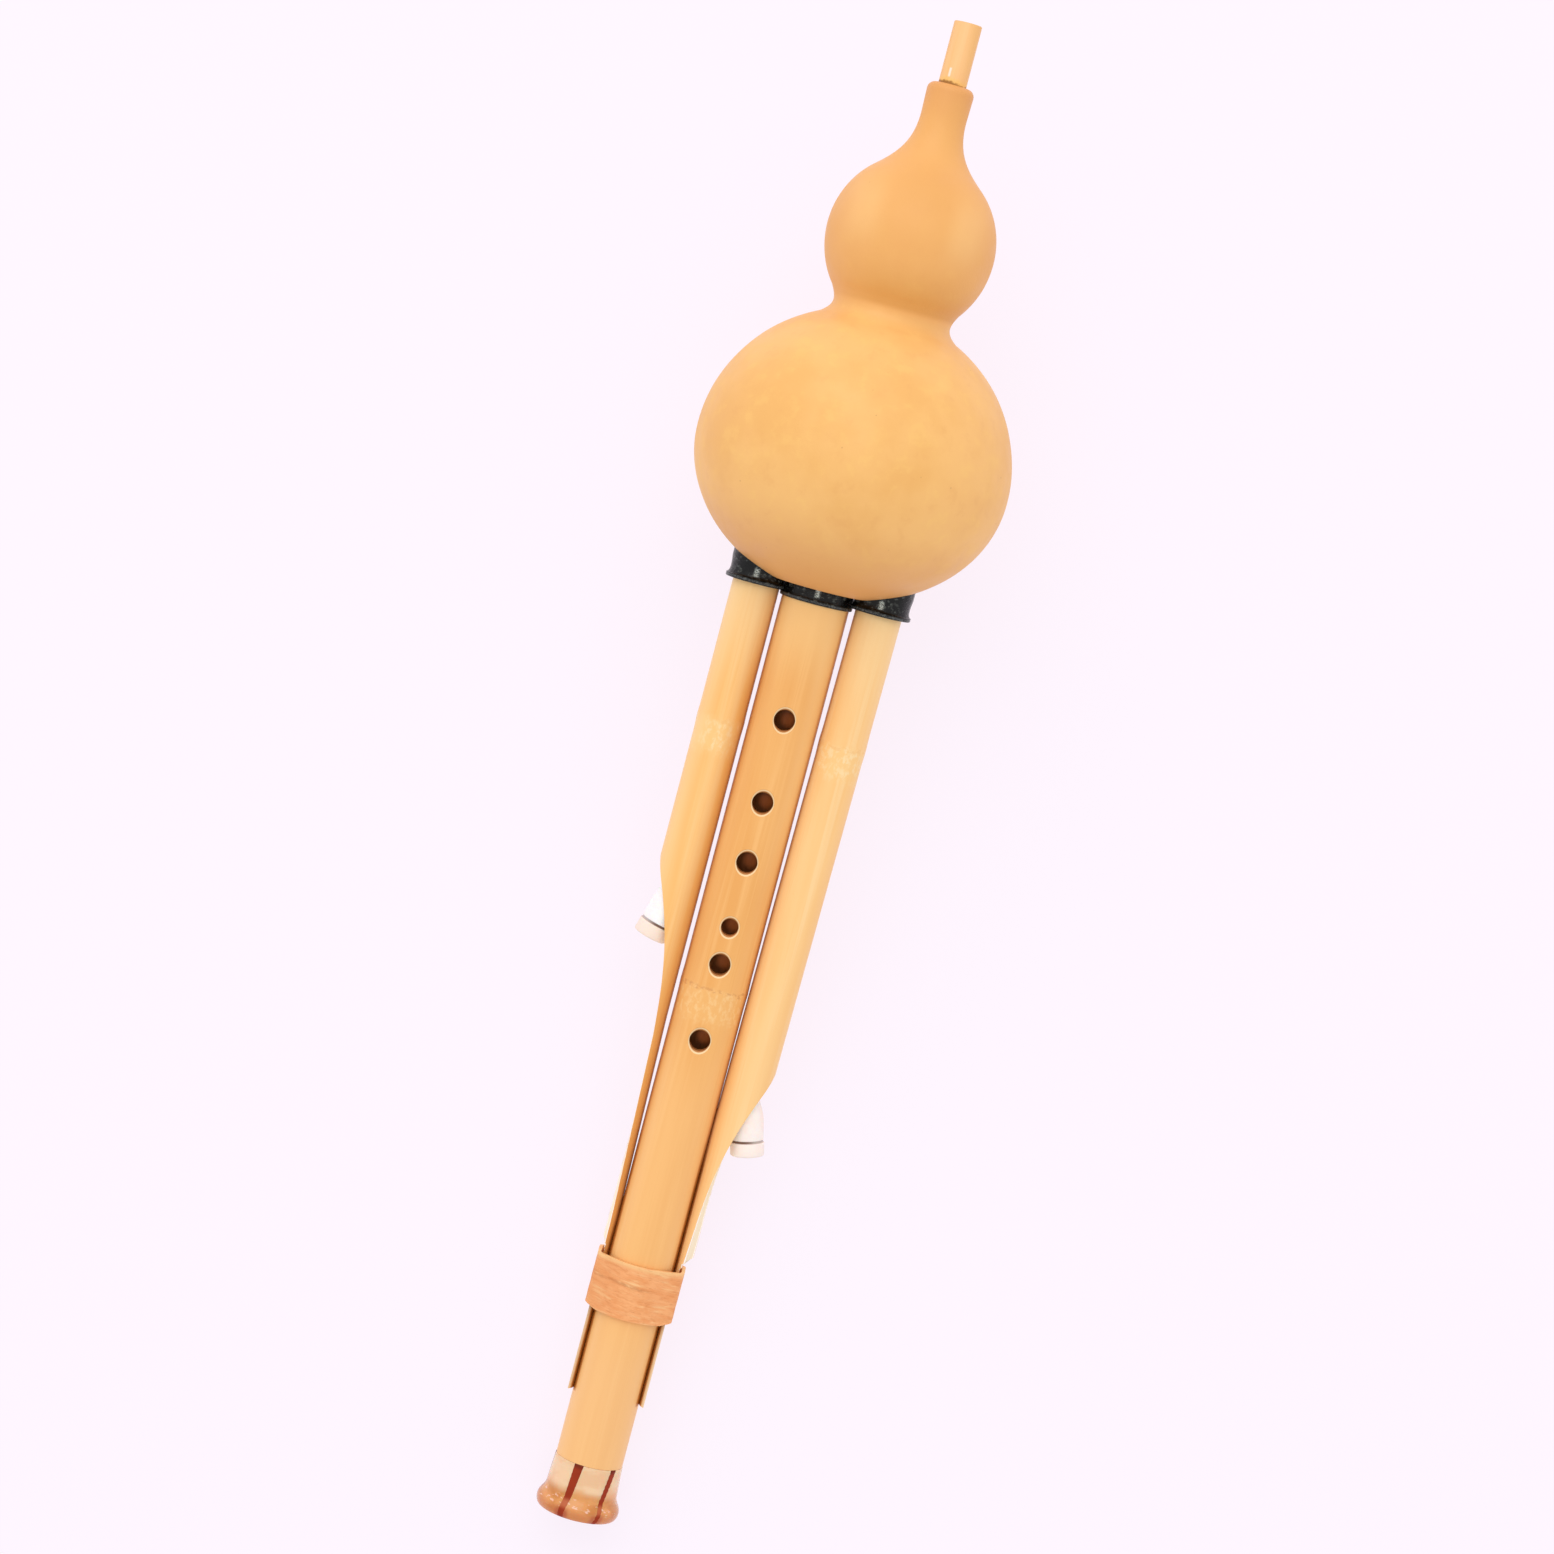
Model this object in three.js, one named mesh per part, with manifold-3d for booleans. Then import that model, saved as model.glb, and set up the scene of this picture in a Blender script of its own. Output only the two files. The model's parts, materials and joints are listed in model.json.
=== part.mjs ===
import * as THREE from "three";
import { mergeVertices } from "three/addons/utils/BufferGeometryUtils.js";
import Module from "manifold-3d";

// A hulusi: a double-bulbed gourd as wind chest, a bamboo mouthpiece in its neck, a fingered main
// pipe between two scooped drone pipes, and brass free reeds on the pipes' upper ends inside it.
// It is built upright on the main pipe's axis, in millimetres, with the bell's mouth at height 0,
// the finger holes towards -Y and the player's right at -X, and is then laid down on its back.

const wasm = await Module();
wasm.setup();

// Fits that all pieces share
const seatGap = 0.3;
const cutOverrun = 3;
const angleTolerance = 1e-9;

// Gourd
const speakingLength = 280.6;
const gourdWall = 4;
const lowerBulbRadius = 46.5;
const lowerBulbDrop = 39.4;
const lowerBulbRise = 44.5;
const bulbSpacing = 65;
const waistRadius = 17.45;
const upperBulbRadius = 24.8;
const upperBulbDrop = 26.2;
const upperBulbRise = 25;
const neckLength = 46;
const neckRadius = 6.65;
const neckLipRadius = 6.85;
const neckLipHeight = 9.3;
const neckEdgeRound = 2.2;
const shoulderAngle = THREE.MathUtils.degToRad(64);
const bowlAngle = THREE.MathUtils.degToRad(40);
const crownAngle = THREE.MathUtils.degToRad(50);
const waistHandleShares = [0.2, 0.65];
const neckHandleShares = { inward: 0.66, rise: 0.29, settle: 0.53 };
const gourdSides = 28;

// Mouthpiece
const mouthpieceRadius = 4.08;
const mouthpieceBore = 2.7;
const mouthpieceReach = 18;
const mouthpieceDepth = 20;
const mouthpieceSides = 12;

// Main pipe
const mainPipeRadius = 10;
const mainBoreRadius = 6;
const mainPipeReach = 44;
const pipeEndWall = 3;
const tenonRadius = 8.2;
const fingerHoleRadius = 3.1;
const smallHoleRadius = 2.53;
const ventHoleRadius = 2.4;
const holeChamfer = 0.6;
const mainPipeSides = 24;
const holeSides = 16;
const fingerHoles = [
  { placeShare: 0.8685, radius: fingerHoleRadius },
  { placeShare: 0.7805, radius: fingerHoleRadius },
  { placeShare: 0.7163, radius: fingerHoleRadius },
  { placeShare: 0.6468, radius: smallHoleRadius },
  { placeShare: 0.6066, radius: fingerHoleRadius },
  { placeShare: 0.5246, radius: fingerHoleRadius },
];
const rearHoles = [
  { placeShare: 0.912, radius: fingerHoleRadius },
  { placeShare: 0.385, radius: ventHoleRadius },
];

// Drone pipes
const dronePipeRadius = 6.9;
const droneBoreRadius = 5.4;
const dronePipeReach = 30.5;
const tongueEndHeight = 36.2;
const tongueThickness = 1.6;
const scoopLength = 50;
const scoopHandleShares = [{ down: 0.26, out: 0.33 }, { down: 0.5, out: -0.31 }];
const droneSides = 20;
const drones = [
  {
    name: "left", side: -1, pipeGap: 1.1, scoopHeight: 194.5, bendHeight: 150,
    scoopEdgeShare: -0.52, lowEdgeShare: -0.72, stopperReach: 14.2,
  },
  {
    name: "right", side: 1, pipeGap: 1.6, scoopHeight: 140.4, bendHeight: 278,
    scoopEdgeShare: -0.45, lowEdgeShare: -0.5, stopperReach: 15.6,
  },
];

// Collars
const collarLipHeight = 1.1;
const collarWaistHeight = 2.4;
const collarWaistStep = 1;
const collarTopHeight = 6.2;
const collarTopStep = 0.55;
const collarEdge = 0.3;
const sideCollarLip = 2.4;
const middleCollarDrop = 2.1;
const sideCollarDrop = 1;

// Bell
const bellHeight = 16.3;
const bellTopRadius = 10.15;
const bellFlareRadius = 10.7;
const bellFlareHeight = 7.2;
const bellLipRadius = 12.58;
const bellLipHeight = 2.3;
const bellLipRound = 1.3;
const bellMouthRadius = 7;
const bellShoulderHeight = 2.4;
const bellFlareHandleShare = 0.4;
const bellSides = 28;
const inlayCount = 6;
const inlayWidth = 2.4;
const inlayDepth = 0.8;
const firstInlayAngle = THREE.MathUtils.degToRad(-17);
const inlayLean = THREE.MathUtils.degToRad(14);
const inlaySteps = 12;

// Rattan binding
const bindingHeight = 61.8;
const bindingTurns = 4;
const rattanWidth = 2.9;
const rattanThickness = 0.95;
const rattanGap = 0.5;

// Stoppers
const stopperTilt = THREE.MathUtils.degToRad(14.5);
const stopperCrossing = 7;
const stopperBodyRadius = 4.85;
const stopperFlangeRadius = 5;
const stopperFlangeThickness = 4.2;
const stopperGrooveRadius = 4.3;
const stopperGrooveWidth = 0.6;
const stopperEdgeRound = 0.5;
const stopperBodyLength = 13.6;
const stopperTaperLength = 6.5;
const stopperNoseRadius = 3.2;
const stopperTipRadius = 1;
const stopperTipLength = 7;
const stopperSides = 20;

// Reeds
const reedThickness = 0.5;
const reedSlit = 0.35;
const waxThickness = 0.9;
const waxWidth = 0.9;
const waxRound = 0.6;
const sealWidth = 2.4;
const sealDepth = 3.2;
const mainReed = { length: 20, width: 6, seatDepth: 1.6, rise: 27 };
const droneReed = { length: 12, width: 4, seatDepth: 1.1, rise: 18.5 };
const reedTongueShare = 0.8;
const reedTongueWidthShare = 0.56;

// Heights that several pieces meet at
const lowerBulbCentre = speakingLength + lowerBulbDrop;
const upperBulbCentre = lowerBulbCentre + bulbSpacing;
const neckTop = upperBulbCentre + neckLength;
const neckBoreRadius = mouthpieceRadius + seatGap;
const bindingTop = bindingHeight + bindingTurns * (rattanWidth + rattanGap) + rattanWidth;
const middleCollarRadius = mainPipeRadius + Math.min(...drones.map((drone) => drone.pipeGap)) - seatGap;

function point(radius, height) {
  return new THREE.Vector2(radius, height);
}

// A closed three.js geometry as a solid that can be joined and cut.
function toManifold(geometry) {
  const bare = geometry.clone();
  bare.deleteAttribute("normal");
  bare.deleteAttribute("uv");
  const merged = mergeVertices(bare);
  const corners = merged.index.array;
  const kept = [];
  for (let i = 0; i < corners.length; i += 3) {
    const [a, b, c] = [corners[i], corners[i + 1], corners[i + 2]];
    if (a !== b && b !== c && c !== a) kept.push(a, b, c);
  }
  const vertProperties = Float32Array.from(merged.attributes.position.array);
  return new wasm.Manifold(new wasm.Mesh({ numProp: 3, vertProperties, triVerts: Uint32Array.from(kept) }));
}

function toGeometry(manifold) {
  const mesh = manifold.getMesh();
  const geometry = new THREE.BufferGeometry();
  geometry.setAttribute("position", new THREE.BufferAttribute(mesh.vertProperties, 3));
  geometry.setIndex(new THREE.BufferAttribute(mesh.triVerts, 1));
  geometry.computeVertexNormals();
  return geometry;
}

function closed(geometry) {
  return toGeometry(toManifold(geometry));
}

function cut(geometry, tools) {
  return toGeometry(tools.reduce((solid, tool) => solid.subtract(toManifold(tool)), toManifold(geometry)));
}

function join(geometries) {
  const [first, ...others] = geometries.map(toManifold);
  return toGeometry(others.reduce((solid, other) => solid.add(other), first));
}

function common(geometry, other) {
  return toGeometry(toManifold(geometry).intersect(toManifold(other)));
}

// A turned shape standing on the Z axis, with flats at the front, the back and both sides.
function turn(outline, sides) {
  const geometry = new THREE.LatheGeometry(outline, sides, Math.PI / sides);
  geometry.rotateX(Math.PI / 2);
  return geometry;
}

function rod(radius, bottom, top, sides) {
  return turn([point(0, bottom), point(radius, bottom), point(radius, top), point(0, top)], sides);
}

// A flat outline drawn in X and Z, given its thickness from Y = 0 towards the front.
function plate(shape, thickness) {
  const geometry = new THREE.ExtrudeGeometry(shape, { depth: thickness, bevelEnabled: false });
  geometry.rotateX(Math.PI / 2);
  return geometry;
}

const hulusi = new THREE.Group();

function addPiece(name, geometry, colour, roughness, metalness = 0) {
  const material = new THREE.MeshStandardMaterial({ color: colour, roughness, metalness });
  const mesh = new THREE.Mesh(geometry, material);
  mesh.name = name;
  hulusi.add(mesh);
  return mesh;
}

// The gourd's side as one curve from its lowest point to the neck, drawn in by an inset all over.
function gourdSide(inset, throatRadius, throatHeight) {
  const foot = new THREE.EllipseCurve(
    0, lowerBulbCentre, lowerBulbRadius - inset, lowerBulbDrop - inset, -Math.PI / 2, 0);
  const shoulder = new THREE.EllipseCurve(
    0, lowerBulbCentre, lowerBulbRadius - inset, lowerBulbRise - inset, 0, shoulderAngle);
  const bowl = new THREE.EllipseCurve(
    0, upperBulbCentre, upperBulbRadius - inset, upperBulbDrop - inset, -bowlAngle, 0);
  const crown = new THREE.EllipseCurve(
    0, upperBulbCentre, upperBulbRadius - inset, upperBulbRise - inset, 0, crownAngle);
  const below = shoulder.getPoint(1);
  const above = bowl.getPoint(0);
  const handleRadius = (8 * (waistRadius - inset) - below.x - above.x) / 6;
  const waist = new THREE.CubicBezierCurve(
    below,
    ...waistHandleShares.map((share) => point(handleRadius, THREE.MathUtils.lerp(below.y, above.y, share))),
    above);
  const top = crown.getPoint(1);
  const neck = new THREE.CubicBezierCurve(
    top,
    point(
      THREE.MathUtils.lerp(top.x, throatRadius, neckHandleShares.inward),
      THREE.MathUtils.lerp(top.y, throatHeight, neckHandleShares.rise)),
    point(throatRadius, THREE.MathUtils.lerp(top.y, throatHeight, neckHandleShares.settle)),
    point(throatRadius, throatHeight));
  return { foot, shoulder, waist, bowl, crown, neck };
}

function pointsAlong(curves, steps) {
  const points = [curves[0].getPoint(0)];
  curves.forEach((curve, i) => points.push(...curve.getPoints(steps[i]).slice(1)));
  points[0].x = Math.max(points[0].x, 0);
  return points;
}

function startOnAxis(points) {
  points[0].x = 0;
  return points;
}

const outerSide = gourdSide(0, neckRadius, neckTop - neckLipHeight);
const outerOutline = startOnAxis(pointsAlong(Object.values(outerSide), [9, 8, 5, 4, 5, 6]));

// Gourd shell: hollow, with one bore for the mouthpiece and three for the pipes.
function gourdShell() {
  const neckEdge = new THREE.EllipseCurve(
    neckLipRadius - neckEdgeRound, neckTop - neckEdgeRound, neckEdgeRound, neckEdgeRound, 0, Math.PI / 2);
  const innerSide = gourdSide(gourdWall, neckBoreRadius, neckTop - mouthpieceDepth);
  const innerOutline = startOnAxis(pointsAlong(Object.values(innerSide), [7, 6, 3, 3, 3, 3]));
  const shell = turn(
    [...outerOutline, ...neckEdge.getPoints(3), point(neckBoreRadius, neckTop), ...innerOutline.reverse()],
    gourdSides);
  const bottom = speakingLength - cutOverrun;
  const mainHole = rod(mainPipeRadius + seatGap, bottom, lowerBulbCentre, mainPipeSides);
  const droneHoles = drones.map((drone) =>
    rod(dronePipeRadius + seatGap, bottom, lowerBulbCentre, droneSides).translate(droneOffset(drone), 0, 0));
  return cut(shell, [mainHole, ...droneHoles]);
}

// How far a drone pipe's axis stands from the main pipe's, where it enters the gourd.
function droneOffset(drone) {
  return drone.side * (mainPipeRadius + drone.pipeGap + dronePipeRadius);
}

function mouthpieceTube() {
  const foot = neckTop - mouthpieceDepth;
  const tip = neckTop + mouthpieceReach;
  return closed(turn(
    [
      point(mouthpieceBore, foot), point(mouthpieceRadius, foot),
      point(mouthpieceRadius, tip), point(mouthpieceBore, tip), point(mouthpieceBore, foot),
    ],
    mouthpieceSides));
}

// Collars: black rings round the pipes, with a lip below, a drawn-in waist and a top that flares
// again and is scribed to the gourd.
function collar(pipeRadius, lipRadius, bottom, sides) {
  const bore = pipeRadius + seatGap;
  const waist = Math.max(lipRadius - collarWaistStep, bore + collarEdge);
  const top = Math.max(lipRadius - collarTopStep, bore + collarEdge);
  return turn(
    [
      point(bore, bottom), point(lipRadius - collarEdge, bottom), point(lipRadius, bottom + collarEdge),
      point(lipRadius, bottom + collarLipHeight), point(waist, bottom + collarWaistHeight),
      point(top, bottom + collarTopHeight), point(top, lowerBulbCentre), point(bore, lowerBulbCentre),
      point(bore, bottom),
    ],
    sides);
}

function gourdAsTool(alongX) {
  const skin = gourdSide(-seatGap, neckRadius, neckTop - neckLipHeight);
  const outline = startOnAxis(pointsAlong([skin.foot], [9]));
  const tool = turn([...outline, point(0, lowerBulbCentre)], gourdSides);
  return tool.translate(alongX, 0, 0);
}

function topTrim(lipRadius, alongX) {
  const top = lowerBulbCentre + cutOverrun;
  const floor = lowerBulbCentre - lowerBulbDrop / 2;
  return rod(lipRadius + Math.abs(alongX) + cutOverrun, floor, top, gourdSides).translate(alongX, 0, 0);
}

function middleCollar() {
  const ring = collar(mainPipeRadius, middleCollarRadius, speakingLength - middleCollarDrop, mainPipeSides);
  return cut(ring, [gourdAsTool(0), topTrim(middleCollarRadius, 0)]);
}

function sideCollar(drone) {
  const offset = droneOffset(drone);
  const lipRadius = dronePipeRadius + sideCollarLip;
  const ring = collar(dronePipeRadius, lipRadius, speakingLength - sideCollarDrop, droneSides);
  const bottom = speakingLength - middleCollarDrop - cutOverrun;
  const neighbour = rod(middleCollarRadius + seatGap, bottom, lowerBulbCentre, mainPipeSides);
  return cut(ring, [
    neighbour.translate(-offset, 0, 0), gourdAsTool(-offset), topTrim(lipRadius, -offset),
  ]);
}

// A drilled hole with a small chamfer at the pipe's skin, drilled from the axis towards the front.
function drill(radius) {
  return new THREE.LatheGeometry(
    [
      point(0, 0), point(radius, 0), point(radius, mainPipeRadius - 2 * holeChamfer),
      point(radius + 2 * holeChamfer, mainPipeRadius + holeChamfer), point(0, mainPipeRadius + holeChamfer),
    ],
    holeSides).rotateX(Math.PI);
}

// The flat that a reed plate lies on, and the window under its tongue, as two cutting blocks.
function reedSeatTools(reed, pipeRadius, boreRadius) {
  const middle = speakingLength + reed.rise;
  const flatLength = reed.length + 2 * (seatGap + waxWidth);
  const flat = new THREE.BoxGeometry(2 * pipeRadius, reed.seatDepth + cutOverrun, flatLength);
  flat.translate(0, -(pipeRadius - reed.seatDepth / 2 + cutOverrun / 2), middle);
  const window = new THREE.BoxGeometry(
    reed.width * reedTongueWidthShare, pipeRadius, reed.length * reedTongueShare);
  window.translate(0, -(boreRadius / 2 + pipeRadius / 2), middle);
  return [flat, window];
}

function mainPipe() {
  const foot = bellShoulderHeight + seatGap;
  const shoulder = bellHeight + seatGap;
  const top = speakingLength + mainPipeReach;
  const blank = turn(
    [
      point(0, top - pipeEndWall), point(mainBoreRadius, top - pipeEndWall), point(mainBoreRadius, foot),
      point(tenonRadius, foot), point(tenonRadius, shoulder), point(mainPipeRadius, shoulder),
      point(mainPipeRadius, top), point(0, top),
    ],
    mainPipeSides);
  const front = fingerHoles.map((hole) =>
    drill(hole.radius).translate(0, 0, hole.placeShare * speakingLength));
  const rear = rearHoles.map((hole) =>
    drill(hole.radius).rotateZ(Math.PI).translate(0, 0, hole.placeShare * speakingLength));
  return cut(blank, [...front, ...rear, ...reedSeatTools(mainReed, mainPipeRadius, mainBoreRadius)]);
}

// How far a drone pipe leans towards the main pipe at a height: it is drawn in from its bend down
// to the binding, where its tongue lies against the main pipe.
function lean(drone, height) {
  const drawnIn = THREE.MathUtils.clamp((drone.bendHeight - height) / (drone.bendHeight - bindingTop), 0, 1);
  return -drone.side * drawnIn * (drone.pipeGap - seatGap);
}

function drawIn(geometry, drone) {
  const places = geometry.attributes.position;
  for (let i = 0; i < places.count; i += 1) {
    places.setX(i, places.getX(i) + lean(drone, places.getZ(i)));
  }
  return geometry;
}

// What the scoop takes away, seen from the front: everything outside a line that drops across the
// pipe, runs on as a slat, and is thinned where the binding goes round it.
function scoopTool(drone) {
  const side = (share) => drone.side * dronePipeRadius * share;
  const outside = drone.side * (dronePipeRadius + cutOverrun);
  const slat = -drone.side * (dronePipeRadius - tongueThickness);
  const pinch = bindingTop + rattanWidth;
  const down = (share) => drone.scoopHeight - share * scoopLength;
  const shape = new THREE.Shape();
  shape.moveTo(outside, drone.scoopHeight);
  shape.lineTo(side(1), drone.scoopHeight);
  const [first, second] = scoopHandleShares;
  shape.bezierCurveTo(
    side(first.out), down(first.down), side(second.out), down(second.down),
    side(drone.scoopEdgeShare), down(1));
  shape.lineTo(side(drone.lowEdgeShare), pinch);
  shape.lineTo(slat, bindingTop + seatGap);
  shape.lineTo(slat, tongueEndHeight - cutOverrun);
  shape.lineTo(outside, tongueEndHeight - cutOverrun);
  shape.closePath();
  const width = 2 * (dronePipeRadius + cutOverrun);
  const geometry = new THREE.ExtrudeGeometry(shape, { depth: width, bevelEnabled: false, curveSegments: 10 });
  return drawIn(geometry.rotateX(Math.PI / 2).translate(0, width / 2, 0), drone);
}

function dronePipe(drone) {
  const top = speakingLength + dronePipeReach;
  const roof = top - pipeEndWall;
  const bends = [tongueEndHeight, bindingTop, drone.bendHeight];
  const blank = turn(
    [
      point(0, roof), point(droneBoreRadius, roof),
      ...bends.toReversed().map((height) => point(droneBoreRadius, height)),
      ...bends.map((height) => point(dronePipeRadius, height)),
      point(dronePipeRadius, top), point(0, top),
    ],
    droneSides);
  return cut(
    drawIn(blank, drone),
    [scoopTool(drone), ...reedSeatTools(droneReed, dronePipeRadius, droneBoreRadius)]);
}

// Bell: a resin ring on the main pipe's tenon, with a flared lip and grooves for its inlays.
function bellOutline() {
  const under = new THREE.EllipseCurve(
    bellLipRadius - bellLipRound, bellLipHeight, bellLipRound, bellLipHeight, -Math.PI / 2, 0);
  const flareHandle = (bellFlareHeight - bellLipHeight) * bellFlareHandleShare;
  const flare = new THREE.CubicBezierCurve(
    point(bellLipRadius, bellLipHeight), point(bellLipRadius, bellLipHeight + flareHandle),
    point(bellFlareRadius, bellFlareHeight - flareHandle), point(bellFlareRadius, bellFlareHeight));
  return [...under.getPoints(4), ...flare.getPoints(6).slice(1), point(bellTopRadius, bellHeight)];
}

function bellSkin(outside, inside, overrun = 0) {
  const outline = bellOutline();
  outline.unshift(point(outline[0].x, -overrun));
  outline.push(point(bellTopRadius, bellHeight + overrun));
  const outer = outline.map((spot) => point(spot.x + outside, spot.y));
  const inner = outline.map((spot) => point(spot.x - inside, spot.y)).reverse();
  return turn([...outer, ...inner, outer[0]], bellSides);
}

// A slab that reaches out from the bell's axis and leans round it, less far round at the mouth.
function spoke(width, angle) {
  const length = 2 * (bellHeight + cutOverrun);
  const slab = new THREE.BoxGeometry(width, 2 * bellLipRadius, length, 1, 1, inlaySteps);
  slab.translate(0, -bellLipRadius, 0);
  const upright = new THREE.Vector3(0, 0, 1);
  const places = slab.attributes.position;
  for (let i = 0; i < places.count; i += 1) {
    const spot = new THREE.Vector3().fromBufferAttribute(places, i);
    const leaning = inlayLean * (spot.z / bellHeight - 1 / 2);
    spot.applyAxisAngle(upright, angle + leaning);
    places.setXYZ(i, spot.x, spot.y, spot.z);
  }
  return slab;
}

function inlayAngle(index) {
  return firstInlayAngle + (index * 2 * Math.PI) / inlayCount;
}

function bellRing() {
  const socket = tenonRadius + seatGap;
  const ring = turn(
    [
      point(bellMouthRadius, 0), ...bellOutline(), point(socket, bellHeight),
      point(socket, bellShoulderHeight), point(bellMouthRadius, bellShoulderHeight), point(bellMouthRadius, 0),
    ],
    bellSides);
  const grooves = [];
  for (let i = 0; i < inlayCount; i += 1) {
    grooves.push(common(
      bellSkin(cutOverrun, inlayDepth + seatGap, cutOverrun),
      spoke(inlayWidth + 2 * seatGap, inlayAngle(i))));
  }
  return cut(ring, grooves);
}

// Rattan binding: one flat strip wound round the main pipe and both tongues. Seen from above, a
// turn runs straight across each tongue, slants to the main pipe and follows it over the front.
function rattanBinding() {
  const standOff = seatGap + rattanThickness / 2;
  const besideTongue = mainPipeRadius + seatGap + tongueThickness + standOff;
  const overPipe = mainPipeRadius + standOff;
  const tongueHalfWidth = Math.sqrt(dronePipeRadius ** 2 - (dronePipeRadius - tongueThickness) ** 2);
  const cornerAngle = Math.atan2(tongueHalfWidth + rattanThickness / 2, besideTongue);
  const cornerReach = besideTongue / Math.cos(cornerAngle);
  const touchAngle = cornerAngle + Math.acos(overPipe / cornerReach);
  const quarter = [
    0, cornerAngle / 2, cornerAngle, (cornerAngle + touchAngle) / 2, touchAngle,
    (touchAngle + Math.PI / 2) / 2,
  ];
  const across = quarter.slice(1).reverse().map((angle) => Math.PI - angle);
  const halfTurn = [...quarter, Math.PI / 2, ...across];
  const oneTurn = [...halfTurn, ...halfTurn.map((angle) => angle + Math.PI)];

  function reach(angle, offset) {
    const folded = Math.abs(Math.atan2(Math.abs(Math.sin(angle)), Math.abs(Math.cos(angle))));
    if (folded < cornerAngle - angleTolerance) return (besideTongue + offset) / Math.cos(folded);
    if (folded < touchAngle) return (overPipe + offset) / Math.cos(touchAngle - folded);
    return overPipe + offset;
  }

  const half = { thickness: rattanThickness / 2, width: rattanWidth / 2 };
  const bevel = rattanThickness / 2;
  const section = [
    [-half.thickness, -half.width], [-half.thickness, half.width], [0, half.width],
    [half.thickness, half.width - bevel], [half.thickness, bevel - half.width], [0, -half.width],
  ];
  const pitch = rattanWidth + rattanGap;
  const steps = bindingTurns * oneTurn.length;
  const spots = [];
  for (let step = 0; step <= steps; step += 1) {
    const angle = oneTurn[step % oneTurn.length];
    const turns = Math.floor(step / oneTurn.length) + angle / (2 * Math.PI);
    const height = bindingTop - rattanWidth / 2 - pitch * turns;
    section.forEach(([outward, upward]) => {
      const radius = reach(angle, outward);
      spots.push(new THREE.Vector3(radius * Math.cos(angle), radius * Math.sin(angle), height + upward));
    });
  }

  let leastGap = Infinity;
  const apart = (oneTurn.length / 2) * section.length;
  for (let i = 0; i < spots.length; i += 1) {
    for (let j = i + apart; j < spots.length; j += 1) {
      leastGap = Math.min(leastGap, spots[i].distanceTo(spots[j]));
    }
  }
  console.log(`rattan binding: least gap between its turns ${leastGap.toFixed(2)} mm`);

  const corners = [];
  const sides = section.length;
  for (let step = 0; step < steps; step += 1) {
    for (let k = 0; k < sides; k += 1) {
      const [a, b] = [step * sides + k, step * sides + ((k + 1) % sides)];
      corners.push(a, b, b + sides, a, b + sides, a + sides);
    }
  }
  const last = steps * sides;
  for (let k = 1; k < sides - 1; k += 1) {
    corners.push(0, k + 1, k);
    corners.push(last, last + k, last + k + 1);
  }
  const geometry = new THREE.BufferGeometry().setFromPoints(spots);
  geometry.setIndex(corners);
  return closed(geometry);
}

// Stopper: a silicone plug turned on its own axis, with its nose up the bore.
function stopper(reach) {
  const flangeFoot = -reach - stopperFlangeThickness / 2;
  const flangeTop = flangeFoot + stopperFlangeThickness;
  const bodyFoot = flangeTop + stopperGrooveWidth;
  const bodyTop = bodyFoot + stopperBodyLength - stopperTaperLength;
  const edge = stopperEdgeRound;
  return closed(turn(
    [
      point(0, flangeFoot), point(stopperFlangeRadius - edge, flangeFoot),
      point(stopperFlangeRadius, flangeFoot + edge), point(stopperFlangeRadius, flangeTop - edge),
      point(stopperFlangeRadius - edge, flangeTop), point(stopperGrooveRadius, flangeTop),
      point(stopperGrooveRadius, bodyFoot), point(stopperBodyRadius - edge, bodyFoot),
      point(stopperBodyRadius, bodyFoot + edge), point(stopperBodyRadius, bodyTop),
      point(stopperNoseRadius, bodyTop + stopperTaperLength),
      point(stopperTipRadius, bodyTop + stopperTaperLength + stopperTipLength),
      point(0, bodyTop + stopperTaperLength + stopperTipLength),
    ],
    stopperSides));
}

// Reed plate: a brass plate with a pointed tongue freed by a slit on its two long sides.
function reedPlate(reed) {
  const half = { width: reed.width / 2, length: reed.length / 2 };
  const tongue = {
    half: (reed.width * reedTongueWidthShare) / 2,
    foot: (-reed.length * reedTongueShare) / 2,
    tip: (reed.length * reedTongueShare) / 2,
  };
  const shape = new THREE.Shape([
    point(-half.width, -half.length), point(half.width, -half.length),
    point(half.width, half.length), point(-half.width, half.length),
  ]);
  const tipInset = (reedSlit * reed.length) / reed.width;
  shape.holes.push(new THREE.Path([
    point(-tongue.half, tongue.foot), point(0, tongue.tip), point(tongue.half, tongue.foot),
    point(tongue.half - reedSlit, tongue.foot), point(0, tongue.tip - tipInset),
    point(reedSlit - tongue.half, tongue.foot),
  ]));
  return closed(plate(shape, reedThickness));
}

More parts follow.
